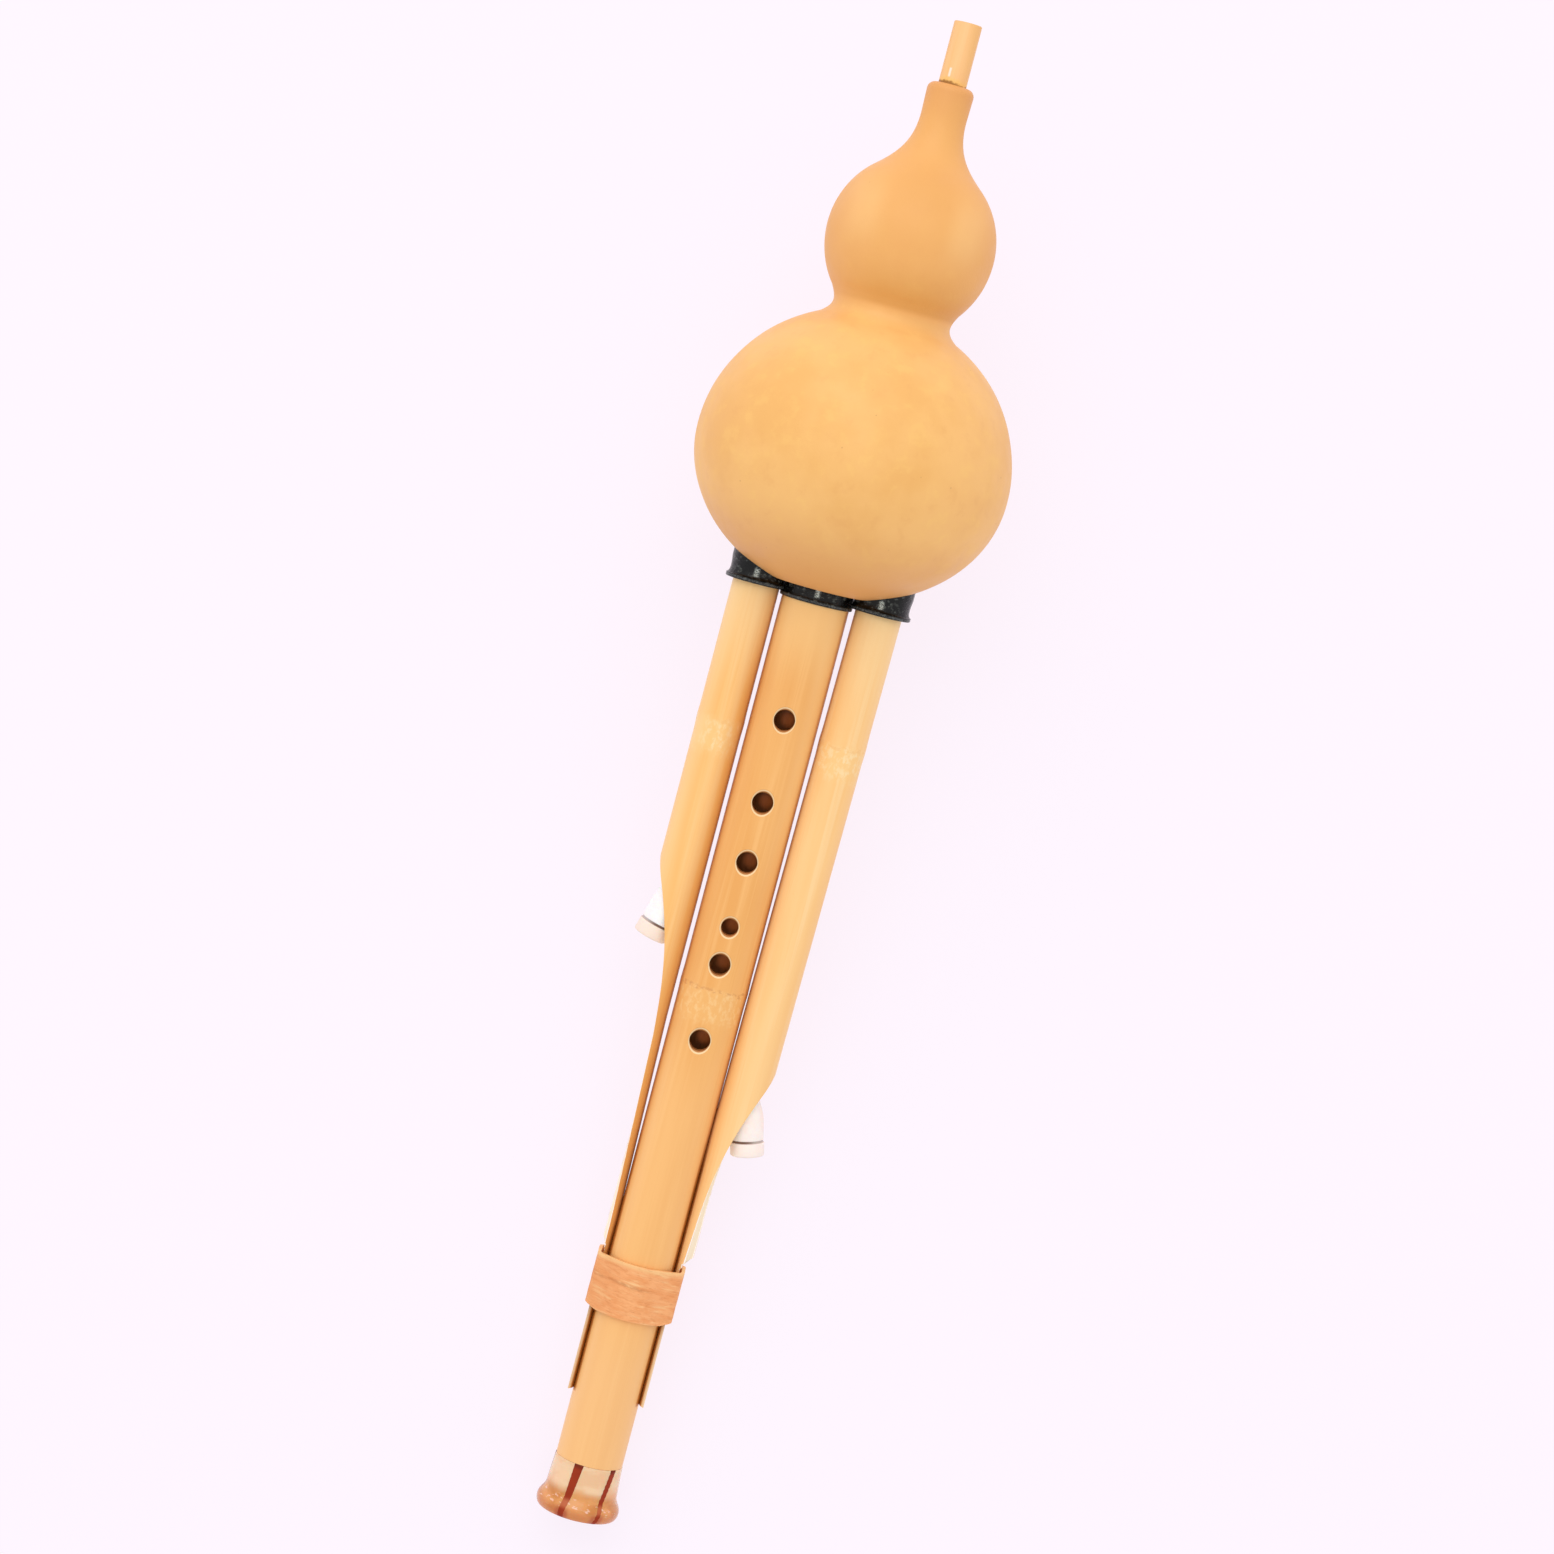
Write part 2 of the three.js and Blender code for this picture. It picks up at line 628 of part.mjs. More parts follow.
// Wax: a bead laid round a reed plate on its flat.
function reedWax(reed) {
  const hole = { width: reed.width / 2 + seatGap, length: reed.length / 2 + seatGap };
  const rim = { width: hole.width + waxWidth, length: hole.length + waxWidth };
  const shape = new THREE.Shape();
  shape.moveTo(-rim.width + waxRound, -rim.length);
  shape.lineTo(rim.width - waxRound, -rim.length);
  shape.lineTo(rim.width, -rim.length + waxRound);
  shape.lineTo(rim.width, rim.length - waxRound);
  shape.lineTo(rim.width - waxRound, rim.length);
  shape.lineTo(-rim.width + waxRound, rim.length);
  shape.lineTo(-rim.width, rim.length - waxRound);
  shape.lineTo(-rim.width, -rim.length + waxRound);
  shape.closePath();
  shape.holes.push(new THREE.Path([
    point(-hole.width, -hole.length), point(-hole.width, hole.length),
    point(hole.width, hole.length), point(hole.width, -hole.length),
  ]));
  return closed(plate(shape, waxThickness));
}

// Wax seal: one pool of wax inside the gourd, round all three pipes where they come through.
function waxSeal() {
  const bottom = speakingLength;
  const reachAt = (radius) => {
    const share = radius / (lowerBulbRadius - gourdWall);
    return lowerBulbCentre - (lowerBulbDrop - gourdWall) * Math.sqrt(1 - share * share);
  };
  const pools = [
    rod(mainPipeRadius + sealWidth, bottom, reachAt(mainPipeRadius + sealWidth) + sealDepth, mainPipeSides),
    ...drones.map((drone) => {
      const offset = droneOffset(drone);
      const top = reachAt(Math.abs(offset)) + sealDepth;
      return rod(dronePipeRadius + sealWidth, bottom, top, droneSides).translate(offset, 0, 0);
    }),
  ];
  const cavity = gourdSide(gourdWall + seatGap, neckBoreRadius, neckTop - mouthpieceDepth);
  const room = turn([...startOnAxis(pointsAlong([cavity.foot], [9])), point(0, lowerBulbCentre)], gourdSides);
  const pipes = [
    rod(mainPipeRadius + seatGap, bottom - cutOverrun, lowerBulbCentre, mainPipeSides),
    ...drones.map((drone) =>
      rod(dronePipeRadius + seatGap, bottom - cutOverrun, lowerBulbCentre, droneSides)
        .translate(droneOffset(drone), 0, 0)),
  ];
  return cut(common(join(pools), room), pipes);
}

const bamboo = "#f2b26a";
const bambooPale = "#fac37c";
const gourdTan = "#f7bd76";
const blackHorn = "#15181a";
const amber = "#e6a56a";
const oxblood = "#7c2413";
const brass = "#c9a227";
const beeswax = "#c98a3c";
const silicone = "#f7eee8";
const rattan = "#eea468";

addPiece("gourd_shell", gourdShell(), gourdTan, 0.5);
addPiece("mouthpiece_tube", mouthpieceTube(), bambooPale, 0.5);
addPiece("main_pipe", mainPipe(), bamboo, 0.45);
addPiece("middle_collar", middleCollar(), blackHorn, 0.25);
addPiece("bell_ring", bellRing(), amber, 0.25);
for (let i = 0; i < inlayCount; i += 1) {
  const strip = common(bellSkin(0, inlayDepth), spoke(inlayWidth, inlayAngle(i)));
  addPiece(`bell_inlay_${i + 1}`, strip, oxblood, 0.3);
}

drones.forEach((drone) => {
  const offset = droneOffset(drone);
  addPiece(`${drone.name}_drone_pipe`, dronePipe(drone), bambooPale, 0.45).position.x = offset;
  addPiece(`${drone.name}_collar`, sideCollar(drone), blackHorn, 0.25).position.x = offset;
  const plug = addPiece(`${drone.name}_stopper`, stopper(drone.stopperReach), silicone, 0.6);
  const crossing = drone.scoopHeight - stopperCrossing;
  plug.position.set(offset + lean(drone, crossing), 0, crossing);
  plug.rotation.y = -drone.side * stopperTilt;
});

addPiece("rattan_binding", rattanBinding(), rattan, 0.6);
addPiece("wax_seal", waxSeal(), beeswax, 0.7);

const reeds = [
  { name: "main", reed: mainReed, pipeRadius: mainPipeRadius, along: 0 },
  ...drones.map((drone) => ({
    name: drone.name, reed: droneReed, pipeRadius: dronePipeRadius, along: droneOffset(drone),
  })),
];
reeds.forEach(({ name, reed, pipeRadius, along }) => {
  const face = -(pipeRadius - reed.seatDepth) - seatGap;
  const height = speakingLength + reed.rise;
  addPiece(`${name}_reed_plate`, reedPlate(reed), brass, 0.35, 1).position.set(along, face, height);
  addPiece(`${name}_reed_wax`, reedWax(reed), beeswax, 0.7).position.set(along, face, height);
});

// Laid on its back, it rests on the bell's lip and the gourd's lower bulb, which sets its slope.
function restSlope() {
  const lowest = (outline, sides, slope) => Math.min(...outline.map((spot) =>
    spot.y * Math.sin(slope) - spot.x * Math.cos(Math.PI / sides) * Math.cos(slope)));
  let [level, steep] = [0, Math.PI / 4];
  while (steep - level > angleTolerance) {
    const slope = (level + steep) / 2;
    const bellIsHigher = lowest(bellOutline(), bellSides, slope) > lowest(outerOutline, gourdSides, slope);
    if (bellIsHigher) level = slope;
    else steep = slope;
  }
  return level;
}

const slope = restSlope();
const lying = new THREE.Matrix4().makeBasis(
  new THREE.Vector3(0, -1, 0),
  new THREE.Vector3(Math.sin(slope), 0, -Math.cos(slope)),
  new THREE.Vector3(Math.cos(slope), 0, Math.sin(slope)));
hulusi.quaternion.setFromRotationMatrix(lying);

// The origin is on the floor, under the middle of the whole.
const whole = new THREE.Box3().setFromObject(hulusi, true);
const middle = whole.getCenter(new THREE.Vector3());
hulusi.position.set(-middle.x, -middle.y, -whole.min.z);
hulusi.updateMatrixWorld(true);

export default hulusi;
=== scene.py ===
"""A hulusi lying on its back: a gourd as wind chest, a mouthpiece, a fingered pipe and two drones.

Each piece is modelled in millimetres as the instrument stands on its bell, with the bell's mouth at
height 0, the finger holes towards -Y and the right drone at +X, and is then laid down on its back.
"""

import json
from math import acos, atan, atan2, cos, exp, hypot, pi, radians, sin, sqrt

import bmesh
import bpy
from mathutils import Matrix, Vector, noise
from mathutils.geometry import interpolate_bezier


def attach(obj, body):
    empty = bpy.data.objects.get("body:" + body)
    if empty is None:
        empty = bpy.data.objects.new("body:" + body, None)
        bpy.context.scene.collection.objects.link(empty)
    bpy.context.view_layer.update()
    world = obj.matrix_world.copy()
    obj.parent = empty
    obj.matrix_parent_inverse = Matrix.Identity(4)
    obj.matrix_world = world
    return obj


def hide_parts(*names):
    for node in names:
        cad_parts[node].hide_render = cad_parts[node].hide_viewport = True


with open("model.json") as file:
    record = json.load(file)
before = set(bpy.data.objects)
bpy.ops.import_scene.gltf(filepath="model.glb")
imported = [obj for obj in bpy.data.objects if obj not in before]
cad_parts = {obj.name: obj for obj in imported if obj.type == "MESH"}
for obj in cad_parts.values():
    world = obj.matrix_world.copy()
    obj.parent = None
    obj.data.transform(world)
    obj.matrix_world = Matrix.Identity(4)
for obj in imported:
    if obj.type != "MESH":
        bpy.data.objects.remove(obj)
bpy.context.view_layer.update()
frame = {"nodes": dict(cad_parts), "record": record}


# Main pipe
# A bamboo pipe with its skin left on and varnished. Six finger holes in front and two behind are
# burnt through its wall, its top is closed and flattened for a reed, and its foot is turned down.
BELL_END = next(mount for mount in frame["record"]["mounts"] if mount["name"] == "bell_end")
UP_THE_PIPE = -Vector(BELL_END["axis"]).normalized()
PLAYERS_LEFT = Vector((0, -1, 0))
BEHIND = UP_THE_PIPE.cross(PLAYERS_LEFT)
MOUTH = Vector((BELL_END["pos_m"][0], 0, BELL_END["pos_m"][2]))
LAID_DOWN = Matrix((PLAYERS_LEFT, BEHIND, UP_THE_PIPE)).transposed()
MILLIMETRE = 0.001
FULL_TURN = 2 * pi

SPEAKING_LENGTH = 280.6
PIPE_RADIUS = 10.0
PIPE_BORE = 6.0
PIPE_TOP = SPEAKING_LENGTH + 44
END_WALL = 3.0
TENON = {"radius": 8.2, "foot": 2.7, "shoulder": 16.33}
HOLE_RADIUS = 3.1
HOLE_RIM = 0.5
FINGER_HOLES = [
    (243.7, HOLE_RADIUS), (219.0, HOLE_RADIUS), (201.0, HOLE_RADIUS),
    (181.5, 2.53), (170.2, HOLE_RADIUS), (147.2, HOLE_RADIUS),
]
REAR_HOLES = [(255.9, HOLE_RADIUS), (108.0, 2.4)]
PIPE_NODE = 162.4
NODE_SWELL = 0.14
NODE_WIDTH = 2.2
TONGUE_END = 36.2
REED_MARGIN = 2.4
REED_WINDOW_SHARES = {"width": 0.56, "length": 0.8}
# Painted light in the finger holes: how far right and down its brightest spot lies, and where it fades.
HOLE_PAINTED_LIGHT = {"aside": 0.9, "rim": 3.0, "heart": 0.8}
RING_SPACING = 4.0
FINE_SPACING = 2.0
PIPE_SIDES = 96
OVERRUN = 3
SAME_SPOT = 0.0005


class Signal:
    """The output of a node in one material, so that shader maths reads as plain arithmetic."""

    def __init__(self, finish, socket):
        self.finish = finish
        self.socket = socket

    def _maths(self, operation, first, second):
        return self.finish.node("Math", {"operation": operation}, {0: first, 1: second})

    def __add__(self, other):
        return self._maths("ADD", self, other)

    __radd__ = __add__

    def __sub__(self, other):
        return self._maths("SUBTRACT", self, other)

    def __rsub__(self, other):
        return self._maths("SUBTRACT", other, self)

    def __mul__(self, other):
        return self._maths("MULTIPLY", self, other)

    __rmul__ = __mul__

    def __truediv__(self, other):
        return self._maths("DIVIDE", self, other)

    def __abs__(self):
        return self._maths("ABSOLUTE", self, 0)

    def rise(self, low, high):
        """0 below low, 1 above high, and a smooth step between them; low may be the larger one."""
        start, end = (low, high) if low < high else (high, low)
        first, last = (0.0, 1.0) if low < high else (1.0, 0.0)
        return self.finish.node(
            "MapRange", {"interpolation_type": "SMOOTHSTEP"},
            {"Value": self, "From Min": start, "From Max": end, "To Min": first, "To Max": last})

    def near(self, middle, far, close):
        """1 where the value is close to the middle, and 0 where it is far from it."""
        return abs(self - middle).rise(far, close)


class Finish:
    """A material that grows node by node from the colours and patterns of one piece."""

    def __init__(self, name, **constants):
        self.material = bpy.data.materials.new(name)
        self.material.use_nodes = True
        self.tree = self.material.node_tree
        self.shader = self.tree.nodes["Principled BSDF"]
        for socket, value in constants.items():
            self.shader.inputs[socket.replace("_", " ")].default_value = value
        self.place = self.standing()

    def node(self, kind, settings=None, sockets=None, output=0):
        made = self.tree.nodes.new("ShaderNode" + kind)
        for name, value in (settings or {}).items():
            setattr(made, name, value)
        for place, value in (sockets or {}).items():
            self.feed(made.inputs[place], value)
        return Signal(self, made.outputs[output])

    def feed(self, socket, value):
        if isinstance(value, Signal):
            self.tree.links.new(value.socket, socket)
        else:
            socket.default_value = value

    def standing(self):
        """The place on the piece in millimetres, as it stands upright."""
        place = self.node("TexCoord", output=3)
        sockets = {
            "Vector": place, "Location": MOUTH, "Rotation": LAID_DOWN.to_euler(),
            "Scale": Vector((MILLIMETRE,) * 3),
        }
        return self.node("Mapping", {"vector_type": "TEXTURE"}, sockets)

    def parts(self):
        """How far across, how deep and how high the place is."""
        split = self.node("SeparateXYZ", sockets={"Vector": self.place})
        return [Signal(self, socket) for socket in split.socket.node.outputs]

    def grain(self, sizes, detail=3.0, roughness=0.55, shift=0.0, place=None):
        """Noise from 0 to 1 whose blotches are about as long as the sizes along each axis."""
        scaled = self.node(
            "Mapping", {"vector_type": "TEXTURE"},
            {"Vector": place or self.place, "Location": Vector((shift,) * 3), "Scale": Vector(sizes)})
        return self.node("TexNoise", sockets={
            "Vector": scaled, "Scale": 1.0, "Detail": detail, "Roughness": roughness})

    def mix(self, share, first, second):
        return self.node("Mix", {"data_type": "RGBA"}, {0: share, 6: first, 7: second}, output=2)

    def washed(self, tone, *washes):
        """Lays colours over a tone, one after the other; each wash is (share, colour)."""
        for share, colour in washes:
            tone = self.mix(share, tone, colour)
        return tone

    def glowing(self, share, colour):
        """Gives the surface a light of its own, which is black where the share is 0."""
        self.feed(self.shader.inputs["Emission Color"], self.mix(share, paint(0, 0, 0), colour))

    def round_about(self, across, deep):
        """The distance from an upright axis."""
        return self.node("VectorMath", {"operation": "LENGTH"}, {
            0: self.node("CombineXYZ", sockets={0: across, 1: deep, 2: 0.0})}, output=1)

    def surface(self, tone, roughness, height, depth):
        """Ends a finish; its bumps are as deep as the depth where the height goes from 0 to 1."""
        bump = self.node("Bump", sockets={
            "Strength": 1.0, "Distance": depth * MILLIMETRE, "Height": height})
        for socket, value in [("Base Color", tone), ("Roughness", roughness), ("Normal", bump)]:
            self.feed(self.shader.inputs[socket], value)
        return self


def paint(red, green, blue):
    """A colour given in screen values from 0 to 255."""
    def linear(value):
        share = value / 255
        return share / 12.92 if share <= 0.04045 else ((share + 0.055) / 1.055) ** 2.4
    return (linear(red), linear(green), linear(blue), 1.0)


def spun(outline, sides=PIPE_SIDES, loop=True):
    """Turns an outline of (radius, height) points on the upright axis, starting at +X."""
    shape = bmesh.new()
    corners = [shape.verts.new((radius, 0, height)) for radius, height in outline]
    ends = corners[1:] + corners[:1] if loop else corners[1:]
    edges = [shape.edges.new(pair) for pair in zip(corners, ends)]
    bmesh.ops.spin(
        shape, geom=corners + edges, cent=(0, 0, 0), axis=(0, 0, 1), angle=FULL_TURN, steps=sides,
        use_merge=True)
    bmesh.ops.remove_doubles(shape, verts=shape.verts, dist=SAME_SPOT)
    bmesh.ops.recalc_face_normals(shape, faces=shape.faces)
    return shape


def ringed(start, end, spacing=RING_SPACING):
    """Heights from the start up or down to the end, about a spacing apart."""
    count = max(1, round(abs(end - start) / spacing))
    return [start + (end - start) * step / count for step in range(count + 1)]


def block(size, centre):
    shape = bmesh.new()
    bmesh.ops.create_cube(shape, size=1)
    bmesh.ops.scale(shape, verts=shape.verts, vec=size)
    bmesh.ops.translate(shape, verts=shape.verts, vec=centre)
    return shape


def placed(shape, *turns):
    for turn in turns:
        shape.transform(turn)
    return shape


def moved(across, height=0):
    return Matrix.Translation((across, 0, height))


def as_object(shape, name):
    mesh = bpy.data.meshes.new(name)
    shape.to_mesh(mesh)
    shape.free()
    made = bpy.data.objects.new(name, mesh)
    bpy.context.scene.collection.objects.link(made)
    return made


def joined(shapes):
    """One shape out of several that don't touch each other."""
    whole = bmesh.new()
    for shape in shapes:
        mesh = bpy.data.meshes.new("part")
        shape.to_mesh(mesh)
        shape.free()
        whole.from_mesh(mesh)
        bpy.data.meshes.remove(mesh)
    return whole


def carved(shape, tools, operation="DIFFERENCE"):
    """Cuts a closed shape by closed tools, one after the other."""
    solid = as_object(shape, "solid")
    knives = [as_object(tool, "knife") for tool in tools]
    for knife in knives:
        step = solid.modifiers.new("step", "BOOLEAN")
        step.operation = operation
        step.solver = "EXACT"
        step.object = knife
    bpy.context.view_layer.update()
    result = bmesh.new()
    result.from_object(solid, bpy.context.evaluated_depsgraph_get())
    for spent in [solid, *knives]:
        mesh = spent.data
        bpy.data.objects.remove(spent)
        bpy.data.meshes.remove(mesh)
    bmesh.ops.remove_doubles(result, verts=result.verts, dist=SAME_SPOT)
    return result


def laid(name, shape, finish, node, body="instrument", sharp=30):
    """Lays a finished shape down on its back, in metres, in the place of its CAD node."""
    shape.transform(Matrix.LocRotScale(MOUTH, LAID_DOWN, Vector((MILLIMETRE,) * 3)))
    piece = as_object(shape, name)
    piece.data.shade_smooth()
    piece.data.set_sharp_from_angle(angle=radians(sharp))
    piece.data.materials.append(finish.material)
    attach(piece, body)
    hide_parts(node)
    return piece


def drill(radius, rim, reach):
    """A drill that comes from the axis towards the front and opens out at the pipe's skin."""
    outline = [
        (0, 0), (radius, 0), (radius, reach - 2 * rim), (radius + 3 * rim, reach + rim),
        (0, reach + rim)]
    return placed(spun(outline, sides=48, loop=False), Matrix.Rotation(pi / 2, 4, "X"))


def reed_seat(reed, pipe_radius, bore):
    """The flat under a reed and the window that its tongue swings in, as two cutting blocks."""
    flat = block(
        (2 * pipe_radius, 2 * reed["sunk"], reed["length"] + REED_MARGIN),
        (0, -pipe_radius, reed["height"]))
    width, length = [share * reed[side] for side, share in REED_WINDOW_SHARES.items()]
    window = block((width, pipe_radius, length), (0, -(bore + pipe_radius) / 2, reed["height"]))
    return [flat, window]


def node_swelling(height, node):
    return NODE_SWELL * exp(-(((height - node) / NODE_WIDTH) ** 2))


def bamboo_skin(finish, tones, seed):
    """The skin's tone: broad drifts, long fibres and hair-fine streaks along the pipe."""
    pale, main, deep_tone = tones
    drift = finish.grain((9, 9, 90), detail=2, shift=seed)
    fibres = finish.grain((0.55, 0.55, 46), detail=4, shift=seed + 3)
    streaks = finish.grain((2.6, 2.6, 110), detail=3, shift=seed + 7)
    tone = finish.washed(
        main, (drift.rise(0.36, 0.66), deep_tone), (streaks.rise(0.48, 0.7) * 0.55, pale),
        (fibres.rise(0.52, 0.7) * 0.6, deep_tone))
    return tone, fibres


def node_patch(finish, height, tone, node, below, colours, seed, strength=1.0):
    """The mottled band under a bamboo's node, with the thin scar of its sheath at the top."""
    wander = (finish.grain((3.2, 3.2, 3.2), detail=3, shift=seed) - 0.5) * 3.4
    level = height + wander
    foot, head = node - below, node - 1.2
    band = level.rise(foot - 2.5, foot + 2.5) * level.rise(node + 1.6, head)
    cells = finish.grain((1.3, 1.3, 2.1), detail=4, roughness=0.65, shift=seed + 2)
    patched = finish.mix(cells.rise(0.44, 0.66) * 0.9, colours["ground"], colours["spot"])
    broken = finish.grain((1.7, 1.7, 1.0), detail=4, shift=seed + 5).rise(0.44, 0.6)
    scar = level.near(node, 0.95, 0.2) * broken
    return finish.washed(
        tone, (band * (0.75 * strength), patched), (scar * (0.6 * strength), colours["scar"]))


def varnished(finish, tone, fibres):
    """Ends a bamboo's finish, a little rougher and raised along its fibres."""
    return finish.surface(tone, fibres.rise(0.3, 0.8) * 0.16 + 0.34, fibres, 0.05)


def main_pipe_finish():
    finish = Finish(
        "varnished_bamboo", Coat_Weight=0.05, Coat_Roughness=0.3, Specular_IOR_Level=0.3,
        Emission_Strength=1.0)
    across, deep, height = finish.parts()
    tones = (paint(250, 192, 122), paint(244, 181, 107), paint(238, 170, 94))
    tone, fibres = bamboo_skin(finish, tones, seed=0)
    # Painted light: lighter at the top under the collars, at the flanks and upper right, where shade falls.
    painted_light_upper_right = across.rise(3.0, 8.4) * height.rise(180, 226)
    tone = finish.washed(
        tone, (height.rise(250, 276) * 0.8, paint(255, 206, 136)),
        (height.rise(156, 122) * 0.45, paint(255, 199, 132)), (height.rise(72, 40) * 0.4, paint(249, 196, 138)),
        (abs(across).rise(4.5, 8.6) * 0.2, paint(255, 208, 146)), (painted_light_upper_right * 0.5, paint(255, 206, 138)))
    colours = {"ground": paint(246, 186, 112), "spot": paint(252, 208, 146), "scar": paint(212, 144, 84)}
    tone = node_patch(finish, height, tone, PIPE_NODE, 9.8, colours, seed=11)
    depth = PIPE_RADIUS - finish.round_about(across, deep)
    flank = PIPE_RADIUS - abs(across)
    # Painted shade: the sides turn brown beside the tongues, and darker along the seam against a drone.
    beside = height.rise(TONGUE_END - 0.6, TONGUE_END)
    seam_shade = height.rise(124, 104) * beside
    char = finish.grain((0.8, 0.8, 2.4), detail=3, shift=21)
    burnt = finish.mix(char, paint(170, 104, 54), paint(204, 140, 78))
    inside = depth.rise(0.5, 0.7)
    tone = finish.washed(
        # The first two washes are painted shade beside the tongues and along the seam.
        tone, (beside * flank.rise(1.1, 0.1) * 0.7, paint(196, 118, 56)),
        (seam_shade * flank.rise(1.0, 0.5) * 0.9, paint(190, 116, 42)),
        (depth.rise(0.08, 0.2), paint(255, 222, 172)), (inside, burnt))
    # Painted light: the hole walls glow brown, brightest a little right of and below each hole's middle.
    aside = HOLE_PAINTED_LIGHT["aside"]
    lit_spot_distances = [finish.round_about(across - aside, height - (middle - aside)) for middle, _ in FINGER_HOLES]
    painted_hole_light = sum(heart.rise(HOLE_PAINTED_LIGHT["rim"], HOLE_PAINTED_LIGHT["heart"]) for heart in lit_spot_distances)
    finish.glowing(inside, finish.mix(painted_hole_light, paint(10, 4, 1), paint(90, 43, 17)))
    return varnished(finish, tone, fibres)


def main_pipe():
    outer = [
        (PIPE_RADIUS + node_swelling(height, PIPE_NODE), height)
        for height in ringed(TENON["shoulder"], PIPE_TOP, FINE_SPACING)]
    inner = [(PIPE_BORE, height) for height in ringed(PIPE_TOP - END_WALL, TENON["foot"])]
    outline = [
        (TENON["radius"], TENON["foot"]), (TENON["radius"], TENON["shoulder"]), *outer, (0, PIPE_TOP),
        (0, PIPE_TOP - END_WALL), *inner]
    pipe = spun(outline)
    holes = [
        placed(drill(radius, HOLE_RIM, PIPE_RADIUS), Matrix.Rotation(turn, 4, "Z"), moved(0, height))
        for turn, row in [(0, FINGER_HOLES), (pi, REAR_HOLES)] for height, radius in row]
    flat, window = reed_seat(MAIN_REED, PIPE_RADIUS, PIPE_BORE)
    return carved(pipe, [joined([*holes, flat]), window])


MAIN_REED = {"length": 20, "width": 6, "sunk": 1.6, "height": SPEAKING_LENGTH + 27}
laid("fingered_pipe", main_pipe(), main_pipe_finish(), "main_pipe")


# Drone pipes
# Two thinner bamboo pipes of one note each. A knife has scooped their outer side open, down to a
# springy tongue that runs on below, drawn in against the main pipe under the binding.
DRONE_RADIUS = 6.9
DRONE_BORE = 5.4
DRONE_TOP = SPEAKING_LENGTH + 30.5
TONGUE_THICKNESS = 1.6
SCOOP_LENGTH = 50
SCOOP_HANDLES = [(0.26, 0.22), (0.5, -0.45)]
SCOOP_EASE = 3.5
SCOOP_SLANT = 0.03
SEAT_GAP = 0.3
TOUCH = -0.12
BINDING = {"foot": 61.8, "top": 78.3}
PINCH = 2.9
SCOOP_FOOT = 38
DRONE_REED = {"length": 12, "width": 4, "sunk": 1.1, "height": SPEAKING_LENGTH + 18.5}
DRONES = {
    "left": {
        "side": -1, "gap": 1.1, "scoop": 194.5, "bend": 150, "node": 238.4, "seed": 40,
        "edges": (-0.63, -0.76), "foot_slant": 0.13, "closed": 89, "plug_reach": 14.2,
        # The left plug's tones are painted near white as if brightly lit; each flange is a darker cream, as
        # painted shade.
        "plug_tones_and_light": (paint(255, 252, 252), paint(255, 246, 244)), "flange_shade_tone": paint(250, 224, 204),
        "tones": (paint(255, 207, 142), paint(253, 195, 120), paint(248, 185, 106)),
        # Painted light and shade: lighter on the pipe's outer side, darker on its inner side.
        "painted_side_light": [(0.5, 5.5, 0.6, paint(255, 212, 150)), (-1.0, -5.6, 0.55, paint(228, 162, 88))],
    },
    "right": {
        "side": 1, "gap": 1.6, "scoop": 140.4, "bend": 278, "node": 240.0, "seed": 60,
        "edges": (-0.62, -0.72), "foot_slant": 0.25, "closed": 116, "plug_reach": 15.6,
        "plug_tones_and_light": (paint(255, 243, 236), paint(255, 235, 225)), "flange_shade_tone": paint(255, 238, 229),
        "tones": (paint(255, 217, 160), paint(255, 208, 144), paint(252, 199, 130)),
        "painted_side_light": [],
    },
}


def drone_axis(drone):
    return drone["side"] * (PIPE_RADIUS + drone["gap"] + DRONE_RADIUS)


def drawn_in(drone, height):
    """How far the pipe has come towards the main pipe at a height."""
    share = min(max((drone["bend"] - height) / (drone["bend"] - drone["closed"]), 0), 1)
    return -drone["side"] * share * (drone["gap"] - TOUCH)


